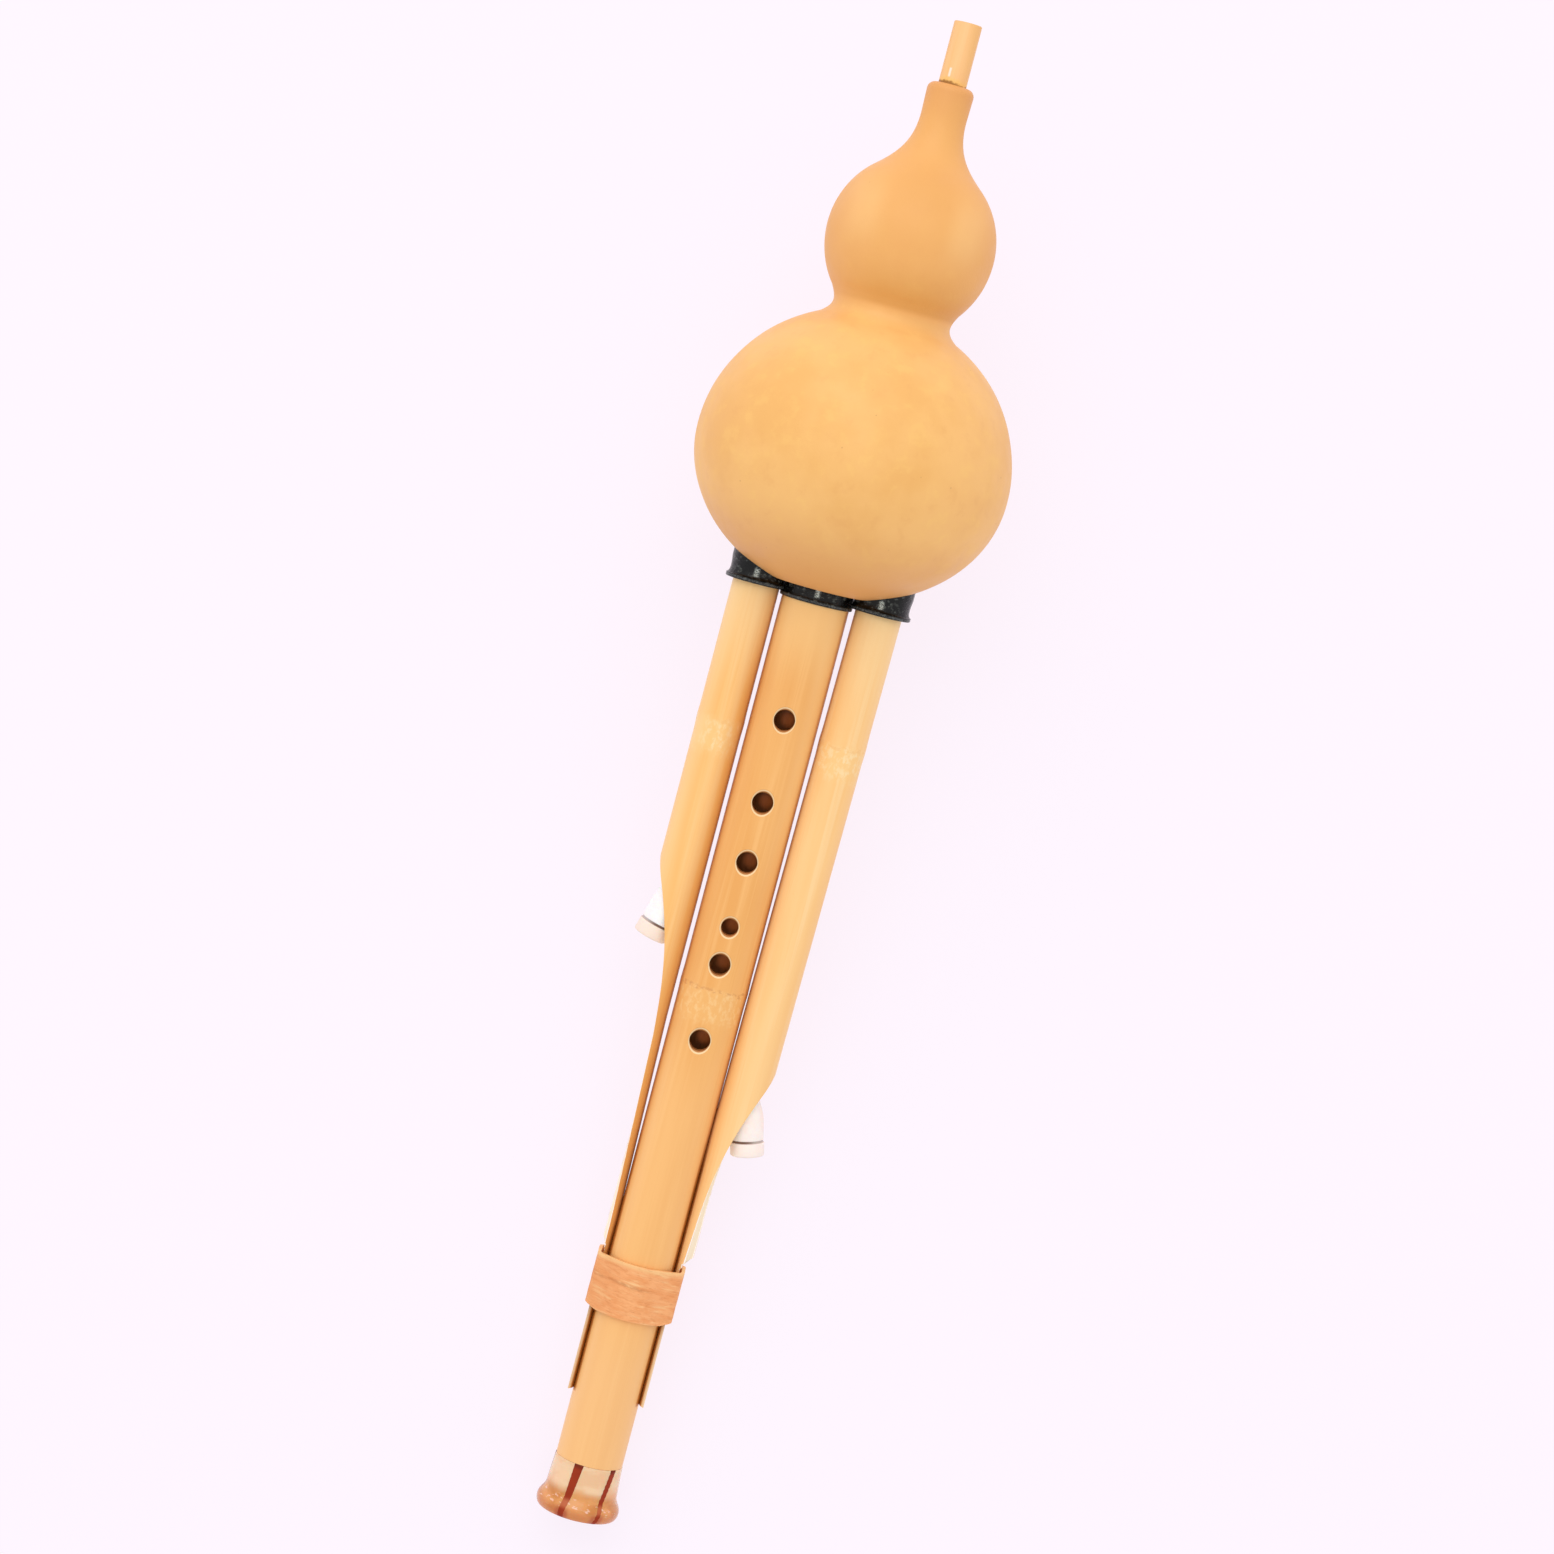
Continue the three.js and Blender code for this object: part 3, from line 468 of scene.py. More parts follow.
def scoop_knife(drone):
    """What the knife takes away: all that lies outside a curve seen from the front."""
    side = drone["side"]
    outside = side * (DRONE_RADIUS + OVERRUN)
    slat = -side * (DRONE_RADIUS - TONGUE_THICKNESS)
    first, second = SCOOP_HANDLES
    upper, lower = drone["edges"]
    spots = [(1, 0), (first[1], first[0]), (second[1], second[0]), (upper, 1)]
    curve = interpolate_bezier(*[
        Vector((side * DRONE_RADIUS * out, drone["scoop"] - down * SCOOP_LENGTH))
        for out, down in spots], 22)
    low = Vector((side * DRONE_RADIUS * lower, BINDING["top"] + PINCH))
    start = Vector((side * (DRONE_RADIUS + 0.02), drone["scoop"] + SCOOP_EASE))
    corner = interpolate_bezier(start, start.lerp(curve[0], 0.7), curve[1], curve[3], 10)
    end = TONGUE_END - OVERRUN
    route = [
        (outside, start.y), *corner, *curve[4:],
        *[curve[-1].lerp(low, step / 12) for step in range(1, 12)],
        low, (low.x + 0.35 * (slat - low.x), BINDING["top"] + 0.45 * PINCH),
        (slat, BINDING["top"] + SEAT_GAP), *[(slat, height) for height in ringed(BINDING["top"], end)],
        (outside, end)]
    shape = bmesh.new()
    depth = DRONE_RADIUS + OVERRUN
    rim = [shape.verts.new((across, -depth, height)) for across, height in route]
    face = shape.faces.new(rim)
    pushed = bmesh.ops.extrude_face_region(shape, geom=[face])
    far = [vert for vert in pushed["geom"] if isinstance(vert, bmesh.types.BMVert)]
    bmesh.ops.translate(shape, verts=far, vec=(0, 2 * depth, 0))
    for vert in shape.verts:
        above = vert.co.z - BINDING["top"]
        if above > SEAT_GAP:
            lower = max(0, 1 - above / SCOOP_FOOT)
            slant = SCOOP_SLANT + (drone["foot_slant"] - SCOOP_SLANT) * lower
            vert.co.x += side * slant * (vert.co.y + DRONE_BORE) * min(1, above / PINCH)
        vert.co.x += drawn_in(drone, vert.co.z)
    bmesh.ops.recalc_face_normals(shape, faces=shape.faces)
    return shape


def drone_pipe(drone):
    outer = [
        (DRONE_RADIUS + node_swelling(height, drone["node"]), height)
        for height in ringed(TONGUE_END, DRONE_TOP, FINE_SPACING)]
    inner = [(DRONE_BORE, height) for height in ringed(DRONE_TOP - END_WALL, TONGUE_END, FINE_SPACING)]
    pipe = spun([*outer, (0, DRONE_TOP), (0, DRONE_TOP - END_WALL), *inner], sides=72)
    for vert in pipe.verts:
        vert.co.x += drawn_in(drone, vert.co.z)
    flat, window = reed_seat(DRONE_REED, DRONE_RADIUS, DRONE_BORE)
    pipe = carved(pipe, [joined([scoop_knife(drone), flat]), window])
    return placed(pipe, moved(drone_axis(drone)))


def drone_finish(name, drone):
    finish = Finish(
        f"{name}_drone_bamboo", Coat_Weight=0.05, Coat_Roughness=0.32, Specular_IOR_Level=0.3,
        Emission_Strength=0.16)
    across, deep, height = finish.parts()
    seed = drone["seed"]
    tone, fibres = bamboo_skin(finish, drone["tones"], seed)
    colours = {"ground": paint(253, 206, 136), "spot": paint(255, 228, 178), "scar": paint(244, 190, 122)}
    tone = node_patch(finish, height, tone, drone["node"], 9, colours, seed + 9, strength=0.9)
    span = drone["bend"] - drone["closed"]
    bent = finish.node("Clamp", sockets={0: (drone["bend"] - height) / span, 1: 0.0, 2: 1.0})
    outward = (across - drone_axis(drone)) * drone["side"] + bent * (drone["gap"] - TOUCH)
    away = finish.round_about(outward, deep)
    depth = DRONE_RADIUS - away
    seam_shade = height.rise(drone["closed"] + 10, drone["closed"] - 8)
    slat = height.rise(BINDING["foot"] + 1, BINDING["foot"])
    grain = finish.grain((0.4, 0.4, 9), detail=4, shift=seed + 13)
    raw = finish.mix(grain, paint(255, 248, 238), paint(250, 236, 216))
    inner = finish.mix(grain, paint(255, 241, 218), paint(246, 226, 192))
    cut = depth.rise(0.2, 0.28)
    bark = away.rise(DRONE_BORE + 0.1, DRONE_BORE + 0.2)
    # Painted light and shade across the pipe, as the drone's table gives it.
    painted_side_light = [(outward.rise(start, end) * share, shade) for start, end, share, shade in drone["painted_side_light"]]
    # Painted light near the collars; painted shade on the inner side and along the seam.
    tone = finish.washed(
        tone, *painted_side_light, (height.rise(244, 277) * 0.5, paint(255, 220, 162)),
        (outward.rise(-6.0, -6.8) * 0.6, paint(196, 132, 80)),
        (seam_shade * outward.rise(-6.0, -6.4) * 0.9, paint(190, 116, 42)),
        (slat * outward.rise(-6.2, -5.7) * 0.8, paint(255, 240, 206)),
        (depth.rise(0.06, 0.14), paint(196, 160, 140)), (cut, raw), (cut * (1.0 - bark), inner))
    # Painted light: the cut faces glow in the raw wood's colour, fully on the wall, faintly on the bore.
    finish.glowing(cut * (bark * 0.7 + 0.3), raw)
    return varnished(finish, tone, fibres)


for name, drone in DRONES.items():
    bamboo = drone_finish(name, drone)
    laid(f"{name}_drone", drone_pipe(drone), bamboo, f"{name}_drone_pipe")


# Reeds
# Each pipe's top carries a brass plate with a pointed free tongue, laid on the flat and sealed all
# round with beeswax; more wax fills the gourd's floor where the pipes come through.
def brass_finish():
    finish = Finish("reed_brass_sheet", Metallic=1.0)
    rolled = finish.grain((0.3, 0.3, 14), detail=4)
    dull = finish.grain((3, 3, 3), detail=3, shift=5)
    tone = finish.mix(dull.rise(0.4, 0.7), paint(222, 188, 98), paint(186, 142, 62))
    return finish.surface(tone, rolled * 0.25 + 0.22, rolled, 0.02)


def wax_finish():
    finish = Finish("beeswax", Subsurface_Weight=0.25, Subsurface_Scale=0.002)
    clouds = finish.grain((4, 4, 4), detail=4)
    lumps = finish.grain((1.3, 1.3, 1.3), detail=3, shift=9)
    tone = finish.mix(clouds.rise(0.35, 0.65), paint(206, 144, 62), paint(170, 104, 36))
    return finish.surface(tone, clouds * 0.3 + 0.4, lumps, 0.15)


def dress(nodes, finish):
    for node in nodes:
        for place in frame["nodes"][node].material_slots:
            place.material = finish.material


dress(["main_reed_plate", "left_reed_plate", "right_reed_plate"], brass_finish())
dress(["main_reed_wax", "left_reed_wax", "right_reed_wax", "wax_seal"], wax_finish())


# Gourd
# A dried double gourd, emptied through its neck. Its skin is scraped and varnished, tan with
# faint ochre clouds and a few dark pinpricks, and its floor has a hole for each pipe.
GOURD = {
    "wall": 4.0, "belly": 46.21, "belly_height": SPEAKING_LENGTH + 39.4, "belly_drop": 39.4,
    "belly_rise": 44.5, "waist": 17.45, "bulb": 24.8, "bulb_drop": 26.2, "bulb_rise": 25,
    "neck": 6.65, "lip": 6.85, "lip_drop": 9.3, "lip_round": 2.2,
}
GOURD["bulb_height"] = GOURD["belly_height"] + 65
GOURD["top"] = GOURD["bulb_height"] + 46
MOUTHPIECE = {"radius": 4.08, "bore": 2.7, "depth": 20, "reach": 18, "edge": 0.25, "fit": 0.05}
GOURD_SIDES = 128
LUMPS = {"depth": 0.35, "broad": 34, "small": 13, "small_share": 0.4, "fading": 20}
DIMPLE = 2.1
MIDDLE_LIP_RADIUS = PIPE_RADIUS + min(drone["gap"] for drone in DRONES.values()) - SEAT_GAP
SIDE_LIP = 2.4
COVERED = {"middle": 0.4, "side": 0.75}


def arc(radius, rise, height, start, end, steps, centre=0):
    """Points along an ellipse between two angles, in degrees from the horizontal."""
    angles = [radians(start + (end - start) * step / steps) for step in range(steps + 1)]
    return [Vector((centre + radius * cos(angle), height + rise * sin(angle))) for angle in angles]


def gourd_side(inset, throat, throat_height):
    """The gourd's side from its lowest point up to the neck, drawn in all over by an inset."""
    belly, bulb = GOURD["belly"] - inset, GOURD["bulb"] - inset
    foot = arc(belly, GOURD["belly_drop"] - inset, GOURD["belly_height"], -90, 0, 40)
    shoulder = arc(belly, GOURD["belly_rise"] - inset, GOURD["belly_height"], 0, 64, 30)
    bowl = arc(bulb, GOURD["bulb_drop"] - inset, GOURD["bulb_height"], -40, 0, 16)
    crown = arc(bulb, GOURD["bulb_rise"] - inset, GOURD["bulb_height"], 0, 50, 18)
    below, above = shoulder[-1], bowl[0]
    handle = (8 * (GOURD["waist"] - inset) - below.x - above.x) / 6
    low, high = [Vector((handle, below.y + share * (above.y - below.y))) for share in (0.32, 0.52)]
    waist = interpolate_bezier(below, low, high, above, 18)
    top = crown[-1]
    climb = throat_height - top.y
    neck = interpolate_bezier(
        top, Vector((top.x + 0.66 * (throat - top.x), top.y + 0.29 * climb)),
        Vector((throat, top.y + 0.53 * climb)), Vector((throat, throat_height)), 20)
    side = [*foot, *shoulder[1:], *waist[1:], *bowl[1:], *crown[1:], *neck[1:]]
    return [(max(spot.x, 0), spot.y) for spot in side]


def gourd():
    wall, lip_round = GOURD["wall"], GOURD["lip_round"]
    bore = MOUTHPIECE["radius"] + MOUTHPIECE["fit"]
    skin = gourd_side(0, GOURD["neck"], GOURD["top"] - GOURD["lip_drop"])
    outer = [(radius, max(height, SPEAKING_LENGTH + DIMPLE)) for radius, height in skin]
    rim = arc(
        lip_round, lip_round, GOURD["top"] - lip_round, 0, 90, 8, centre=GOURD["lip"] - lip_round)
    inner = gourd_side(wall, bore, GOURD["top"] - MOUTHPIECE["depth"])
    outline = [*outer, *rim, (bore, GOURD["top"]), *reversed(inner)]
    shell = spun(outline, sides=GOURD_SIDES)
    for vert in shell.verts:
        away = hypot(vert.co.x, vert.co.y)
        beyond = away - MOUTHPIECE["radius"] - 1
        if beyond > 0:
            small = LUMPS["small_share"] * noise.noise(vert.co / LUMPS["small"])
            hollow = 0.5 - 0.5 * (noise.noise(vert.co / LUMPS["broad"]) + small)
            vert.co.xy *= 1 - LUMPS["depth"] * min(1, beyond / LUMPS["fading"]) * hollow / away
    side_hole = DRONE_RADIUS + SIDE_LIP - COVERED["side"]
    pipes = [
        (MIDDLE_LIP_RADIUS - COVERED["middle"], 0),
        *[(side_hole, drone_axis(drone)) for drone in DRONES.values()]]
    below, inside = SPEAKING_LENGTH - OVERRUN, GOURD["belly_height"]
    holes = []
    for radius, across in pipes:
        hole = spun([(0, below), (radius, below), (radius, inside), (0, inside)], sides=64, loop=False)
        holes.append(placed(hole, moved(across)))
    return carved(shell, holes)


def gourd_finish():
    finish = Finish("gourd_rind", Coat_Weight=0.05, Coat_Roughness=0.4, Specular_IOR_Level=0.3)
    across, _, height = finish.parts()
    over_bulb = height - GOURD["bulb_height"]
    clouds = finish.grain((24, 24, 24), detail=3, roughness=0.6, shift=2)
    blotches = finish.grain((6.5, 6.5, 6.5), detail=5, roughness=0.62, shift=8)
    pores = finish.grain((0.7, 0.7, 0.7), detail=3, shift=15)
    # Painted shade on the bulb's underside above the waist, strongest from the middle to the right.
    bulb_underside_shade = over_bulb.rise(-5, -18) * over_bulb.rise(-20.4, -18.4)
    bulb_underside_shade = bulb_underside_shade * (across.rise(-19, -3) * 0.7 + 0.3)
    # Painted highlights: two soft light patches on the sides of the bulb.
    painted_sheen = abs(across).near(15, 8, 1) * over_bulb.near(6, 15, 2)
    crown = abs(across).rise(13, 2) * over_bulb.near(15, 11, 2)
    spread = {"Vector": finish.place, "Scale": Vector((7, 7, 7))}
    apart = finish.node("Mapping", {"vector_type": "TEXTURE"}, spread)
    dots = finish.node("TexVoronoi", {"feature": "F1"}, {"Vector": apart, "Scale": 1.0})
    tone = finish.washed(
        paint(245, 189, 115), (clouds.rise(0.34, 0.68), paint(239, 180, 104)),
        (blotches.rise(0.5, 0.68) * 0.34, paint(249, 199, 117)),
        (blotches.rise(0.46, 0.3) * 0.28, paint(233, 169, 98)),
        (over_bulb.rise(-23, -1) * 0.75, paint(234, 168, 96)),
        # Painted shade low on the belly, where it turns under.
        ((height - GOURD["belly_height"]).rise(-12, -36) * 0.55, paint(208, 140, 82)),
        (over_bulb.near(-19, 9, 0) * 0.3, paint(244, 186, 118)),
        (bulb_underside_shade * 0.52, paint(212, 150, 72)), (painted_sheen * 0.3, paint(255, 208, 144)),
        (crown * 0.4, paint(226, 162, 88)),
        ((height - GOURD["top"]).rise(-13, 0) * 0.5, paint(222, 152, 90)),
        (dots.rise(0.045, 0.02) * 0.4, paint(170, 106, 52)))
    roughness = blotches.rise(0.3, 0.7) * 0.14 + 0.42
    return finish.surface(tone, roughness, pores * 0.4 + blotches * 0.6, 0.12)


laid("gourd", gourd(), gourd_finish(), "gourd_shell", sharp=40)


# Collars
# Three rings of polished black horn hide the joint between the pipes and the gourd. Each has a lip
# below and a drawn-in waist, its top is scribed to the gourd, and the outer two clasp the middle one.
COLLAR = {
    "lip": 1.1, "waist": 2.4, "waist_step": 1.0, "top": 6.2, "top_step": 0.55, "edge": 0.3, "fit": 0.12,
    "foot_curve": 0.3, "head_curve": 0.8,
}
CLASP_GAP = 0.15
LET_IN = 1.1
MIDDLE_DROP = 2.3
SIDE_DROP = 1.0


def collar_ring(pipe_radius, lip_radius, bottom):
    bore = pipe_radius + COLLAR["fit"]
    edge = COLLAR["edge"]
    waist = max(lip_radius - COLLAR["waist_step"], bore + edge)
    top = max(lip_radius - COLLAR["top_step"], bore + edge)
    corner = arc(edge, edge, bottom + edge, -90, 0, 3, centre=lip_radius - edge)
    lip = bottom + COLLAR["lip"]
    neck = bottom + COLLAR["waist"] + COLLAR["head_curve"]
    flute = interpolate_bezier(
        Vector((lip_radius, lip)), Vector((waist, lip + COLLAR["foot_curve"])), Vector((waist, neck)),
        Vector((top, bottom + COLLAR["top"])), 14)
    head = GOURD["belly_height"]
    return spun([(bore, bottom), *corner, *flute, (top, head), (bore, head)])


def gourd_block(along):
    """The gourd's underside as a cutting block, seen from a ring that stands aside of the axis."""
    skin = gourd_side(LET_IN, GOURD["neck"], GOURD["top"])
    level = GOURD["belly_height"]
    side = [spot for spot in skin if spot[1] <= level]
    lid, wide = level + OVERRUN, GOURD["belly"] + 2 * OVERRUN
    solid = spun([*side, (wide, level), (wide, lid), (0, lid)], sides=GOURD_SIDES, loop=False)
    return placed(solid, moved(along))


def horn_finish(name, bottom, centre):
    finish = Finish(f"{name}_black_horn", Coat_Weight=0.0, Specular_IOR_Level=0.28)
    across, _, height = finish.parts()
    up = height - bottom
    # The grey clouds are partly the horn's veins and partly painted reflections of its polish.
    clouds = finish.grain((1.5, 1.5, 1.1), detail=3, roughness=0.6, shift=3)
    scuffs = finish.grain((0.4, 0.4, 0.25), detail=3, shift=4)
    # Painted highlights: a bright streak across the waist in each ring's middle, a lighter line on the lip.
    painted_highlight_streak = abs(across).near(centre, 1.1, 0.1) * up.near(3.2, 1.7, 0.8)
    lip = up.near(0.6, 0.45, 0.1) * scuffs.rise(0.35, 0.6)
    tone = finish.washed(
        paint(8, 9, 10), (clouds.rise(0.52, 0.68) * 0.6, paint(96, 102, 98)),
        (painted_highlight_streak * scuffs.rise(0.4, 0.56), paint(206, 218, 212)), (lip * 0.45, paint(118, 122, 122)),
        # Painted shade: a near-black line in the crease above the lip.
        (up.near(1.6, 0.45, 0.15) * 0.8, paint(4, 5, 5)))
    roughness = scuffs.rise(0.4, 0.7) * 0.2 + 0.12
    return finish.surface(tone, roughness, clouds * 0.8 + scuffs * 0.2, 0.3)


middle_bottom = SPEAKING_LENGTH - MIDDLE_DROP
middle = carved(collar_ring(PIPE_RADIUS, MIDDLE_LIP_RADIUS, middle_bottom), [gourd_block(0)])
laid("middle_horn_ring", middle, horn_finish("middle", middle_bottom, 0), "middle_collar")
side_bottom = SPEAKING_LENGTH - SIDE_DROP
side_horn = horn_finish("side", side_bottom, drone_axis(DRONES["right"]))
for name, drone in DRONES.items():
    along = drone_axis(drone)
    ring = collar_ring(DRONE_RADIUS, DRONE_RADIUS + SIDE_LIP, side_bottom)
    clasped = MIDDLE_LIP_RADIUS + CLASP_GAP
    foot, head = middle_bottom - OVERRUN, GOURD["belly_height"] + OVERRUN
    clasp = spun([(0, foot), (clasped, foot), (clasped, head), (0, head)], loop=False)
    ring = carved(ring, [placed(clasp, moved(-along)), gourd_block(-along)])
    laid(f"{name}_horn_ring", placed(ring, moved(along)), side_horn, f"{name}_collar")


# Mouthpiece
# A short length of thin bamboo, cut square and pushed into the gourd's neck with a smear of brown
# lacquer round its foot; the dark line at the neck is partly that lacquer, partly painted shade.
def mouthpiece():
    tip = GOURD["top"] + MOUTHPIECE["reach"]
    foot = GOURD["top"] - MOUTHPIECE["depth"]
    radius, bore, edge = MOUTHPIECE["radius"], MOUTHPIECE["bore"], MOUTHPIECE["edge"]
    outer = [(radius, height) for height in ringed(foot, tip - edge, FINE_SPACING)]
    inner = [(bore, height) for height in ringed(tip - edge, foot, FINE_SPACING)]
    return spun([*outer, (radius - edge, tip), (bore + edge, tip), *inner], sides=64)


def mouthpiece_finish():
    finish = Finish("mouthpiece_bamboo", Coat_Weight=0.05, Coat_Roughness=0.2, Specular_IOR_Level=0.3)
    across, _, height = finish.parts()
    tones = (paint(250, 200, 142), paint(248, 192, 130), paint(242, 184, 112))
    tone, fibres = bamboo_skin(finish, tones, seed=80)
    over, tip = height - GOURD["top"], MOUTHPIECE["reach"]
    # A yellow lacquer band at the foot, and a dark line at the neck, partly lacquer and partly painted shade.
    lacquer_and_shade_wander = finish.grain((2, 2, 2), detail=3, shift=44)
    level = over + (lacquer_and_shade_wander - 0.5) * 2.2 + across * 0.06
    # Painted highlight: a small bright spot on the left, just above the neck.
    painted_highlight_spot = across.near(-1.6, 0.45, 0.15) * over.near(3.3, 1.5, 1.0)
    tone = finish.washed(
        tone, (over.rise(tip - 0.4, tip) * 0.6, paint(226, 178, 120)),
        (level.rise(2.4, 0.9) * 0.6, paint(250, 200, 104)),
        (level.rise(1.0, 0.3) * 0.85, paint(146, 92, 26)), (painted_highlight_spot * 0.8, paint(255, 236, 220)))
    return varnished(finish, tone, fibres)


laid("mouthpiece", mouthpiece(), mouthpiece_finish(), "mouthpiece_tube")


# Bell
# A cast resin ring on the pipe's foot, cream above and amber where it flares out to a round lip.
# Leaning strips of dark red resin are let into it, flush, at about equal angles.
BELL = {
    "height": 16.3, "top": 10.15, "flare": 10.7, "flare_height": 7.2, "lip": 12.48, "lip_height": 2.3,
    "lip_round": 1.3, "mouth": 7.0, "shoulder": 2.4, "edge": 0.3, "brow": 0.02, "chamfer": 0.25,
    "fit": 0.06,
}
BELL_SIDES = 160
STRIPES = [
    {"angle": -17, "width": 2.7, "lean": 7}, {"angle": 40, "width": 1.9, "lean": 21},
    {"angle": 103, "width": 2.2, "lean": 14}, {"angle": 163, "width": 2.4, "lean": 14},
    {"angle": -137, "width": 2.0, "lean": 14}, {"angle": -88, "width": 1.8, "lean": 4},
]
STRIPE_DEPTH = 0.8
STRIPE_FIT = 0.01
STRIPE_FOOT_SHARE = 0.6
STRIPE_SLAB = {"height": 60, "middle": 10, "cuts": 40, "overrun": 1}


def bell_side():
    """The ring's outer side from under the lip to its top edge."""
    lip, level = BELL["lip"], BELL["lip_height"]
    core = lip - BELL["lip_round"]
    under = [(core + spot.x, spot.y) for spot in arc(BELL["lip_round"], level, level, -90, 0, 12)]
    waist, brow = BELL["flare"], BELL["flare_height"]
    handle = 0.4 * (brow - level)
    flare = interpolate_bezier(
        Vector((lip, level)), Vector((lip, level + handle)), Vector((waist, brow - handle)),
        Vector((waist, brow)), 18)
    top, height, edge = BELL["top"], BELL["height"], BELL["edge"]
    wall = [flare[-1].lerp(Vector((top, height)), step / 6) for step in range(1, 6)]
    crown = [
        (top + BELL["brow"], height - edge), (top - 0.3 * edge, height - 0.3 * edge), (top - edge, height)]
    return [*under, *flare[1:], *wall, *crown]


def turned(stripe, up):
    """A strip's angle from the front, a share of the bell's height up."""
    return radians(stripe["angle"]) + (up - 0.5) * radians(stripe["lean"])


def stripe_block(stripe, outward, inward):
    """A strip that follows the bell's side and leans as it climbs, or the groove for it."""
    side = bell_side()
    width = stripe["width"] + (2 * STRIPE_FIT if outward else 0)
    skin = [(radius + outward, height) for radius, height in side]
    floor = [(radius - inward, height) for radius, height in reversed(side)]
    if outward:
        low, high = -STRIPE_SLAB["overrun"], BELL["height"] + STRIPE_SLAB["overrun"]
        skin = [(skin[0][0], low), *skin, (skin[-1][0], high)]
        floor = [(floor[0][0], high), *floor, (floor[-1][0], low)]
    slab = block(
        (1, 2 * BELL["flare"], STRIPE_SLAB["height"]), (0, -BELL["flare"], STRIPE_SLAB["middle"]))
    upright = [edge for edge in slab.edges if abs(edge.verts[0].co.z - edge.verts[1].co.z) > 1]
    bmesh.ops.subdivide_edges(slab, edges=upright, cuts=STRIPE_SLAB["cuts"])
    for vert in slab.verts:
        up = vert.co.z / BELL["height"]
        vert.co.x *= width * min(1, STRIPE_FOOT_SHARE + (1 - STRIPE_FOOT_SHARE) * up)
        vert.co.rotate(Matrix.Rotation(turned(stripe, up), 3, "Z"))
    return carved(spun([*skin, *floor], sides=BELL_SIDES), [slab], "INTERSECT")


def bell():
    mouth, chamfer, socket = BELL["mouth"], BELL["chamfer"], TENON["radius"] + BELL["fit"]
    ring = spun([
        (mouth, chamfer), (mouth + chamfer, 0), *bell_side(), (socket, BELL["height"]),
        (socket, BELL["shoulder"]), (mouth, BELL["shoulder"])], sides=BELL_SIDES)
    grooves = [stripe_block(stripe, 2, STRIPE_DEPTH + STRIPE_FIT) for stripe in STRIPES]
    return carved(ring, [joined(grooves)])


def resin_finish():
    finish = Finish(
        "amber_resin", Coat_Weight=0.3, Coat_Roughness=0.06, Specular_IOR_Level=0.4, Subsurface_Weight=0.2,
        Subsurface_Scale=0.004)
    across, deep, height = finish.parts()
    over_lip = height - BELL["lip_height"]
    swirl = finish.grain((7, 7, 4), detail=3, roughness=0.5, shift=3)
    painted_flare_glints = finish.grain((2.6, 2.6, 1.0), detail=2, shift=31)
    level = height - BELL["flare_height"] + (swirl - 0.5) * 3
    lip = over_lip.rise(2.1, -0.7)
    # Painted highlights: pale pink glints scattered over the flare.
    flare = painted_flare_glints.rise(0.58, 0.68) * over_lip.near(2.3, 2.4, 1.0)
    angle = finish.node("Math", {"operation": "ARCTAN2"}, {0: across, 1: deep * -1.0})
    beside = [angle.near(turned(stripe, height / BELL["height"]), 0.22, 0.1) for stripe in STRIPES]
    cream = finish.mix(swirl.rise(0.4, 0.62), paint(240, 192, 148), paint(246, 205, 164))
    amber = finish.mix(swirl.rise(0.42, 0.64), paint(228, 156, 90), paint(208, 132, 62))
    tone = finish.washed(
        cream, (level.rise(3.0, -0.6), amber), (lip * 0.5, paint(190, 98, 48)),
        (flare * 0.7, paint(250, 208, 188)), *[(near * lip * 0.6, paint(178, 62, 34)) for near in beside])
    return finish.surface(tone, swirl * 0.08 + 0.1, swirl, 0.08)


def stripe_finish():
    finish = Finish("dark_red_resin", Coat_Weight=0.0, Specular_IOR_Level=0.15)
    _, _, height = finish.parts()
    cloud = finish.grain((1.6, 1.6, 4), detail=3)
    # Painted highlight: the strips turn paler where they cross the flare.
    painted_flare_highlight = (height - BELL["lip_height"]).near(2.1, 1.9, 0.4)
    tone = finish.washed(
        paint(168, 58, 26), (cloud, paint(142, 44, 18)),
        ((height - BELL["height"]).rise(-1.9, -0.4) * 0.7, paint(98, 34, 18)),
        (painted_flare_highlight * 0.65, paint(206, 116, 74)))
    return finish.surface(tone, cloud * 0.1 + 0.14, cloud, 0.04)


laid("bell", bell(), resin_finish(), "bell_ring")
stripe_red = stripe_finish()
for number, stripe in enumerate(STRIPES, 1):
    strip = stripe_block(stripe, 0, STRIPE_DEPTH)
    laid(f"bell_stripe_{number}", strip, stripe_red, f"bell_inlay_{number}")


# Rattan binding
# One flat strip of split rattan wound tightly round the main pipe and both tongues. Its turns
# climb slowly, edge to edge, and its ends are trimmed level and tucked under.
RATTAN = {"pitch": 4.05, "width": 4.05, "thickness": 0.95, "turns": 5.4, "steps": 72}
RATTAN_EDGE = [(0.9, 0), (0.97, 0.4), (1, 1.1)]
RATTAN_START = BINDING["top"] + 0.62 * RATTAN["pitch"]
RATTAN_BEND = 0.05
RATTAN_WANDER = {"reach": 0.7, "length": 6, "seed": 40}
RATTAN_SWELL = {"depth": 0.22, "length": 3.5}
RATTAN_TRIM = 1.2


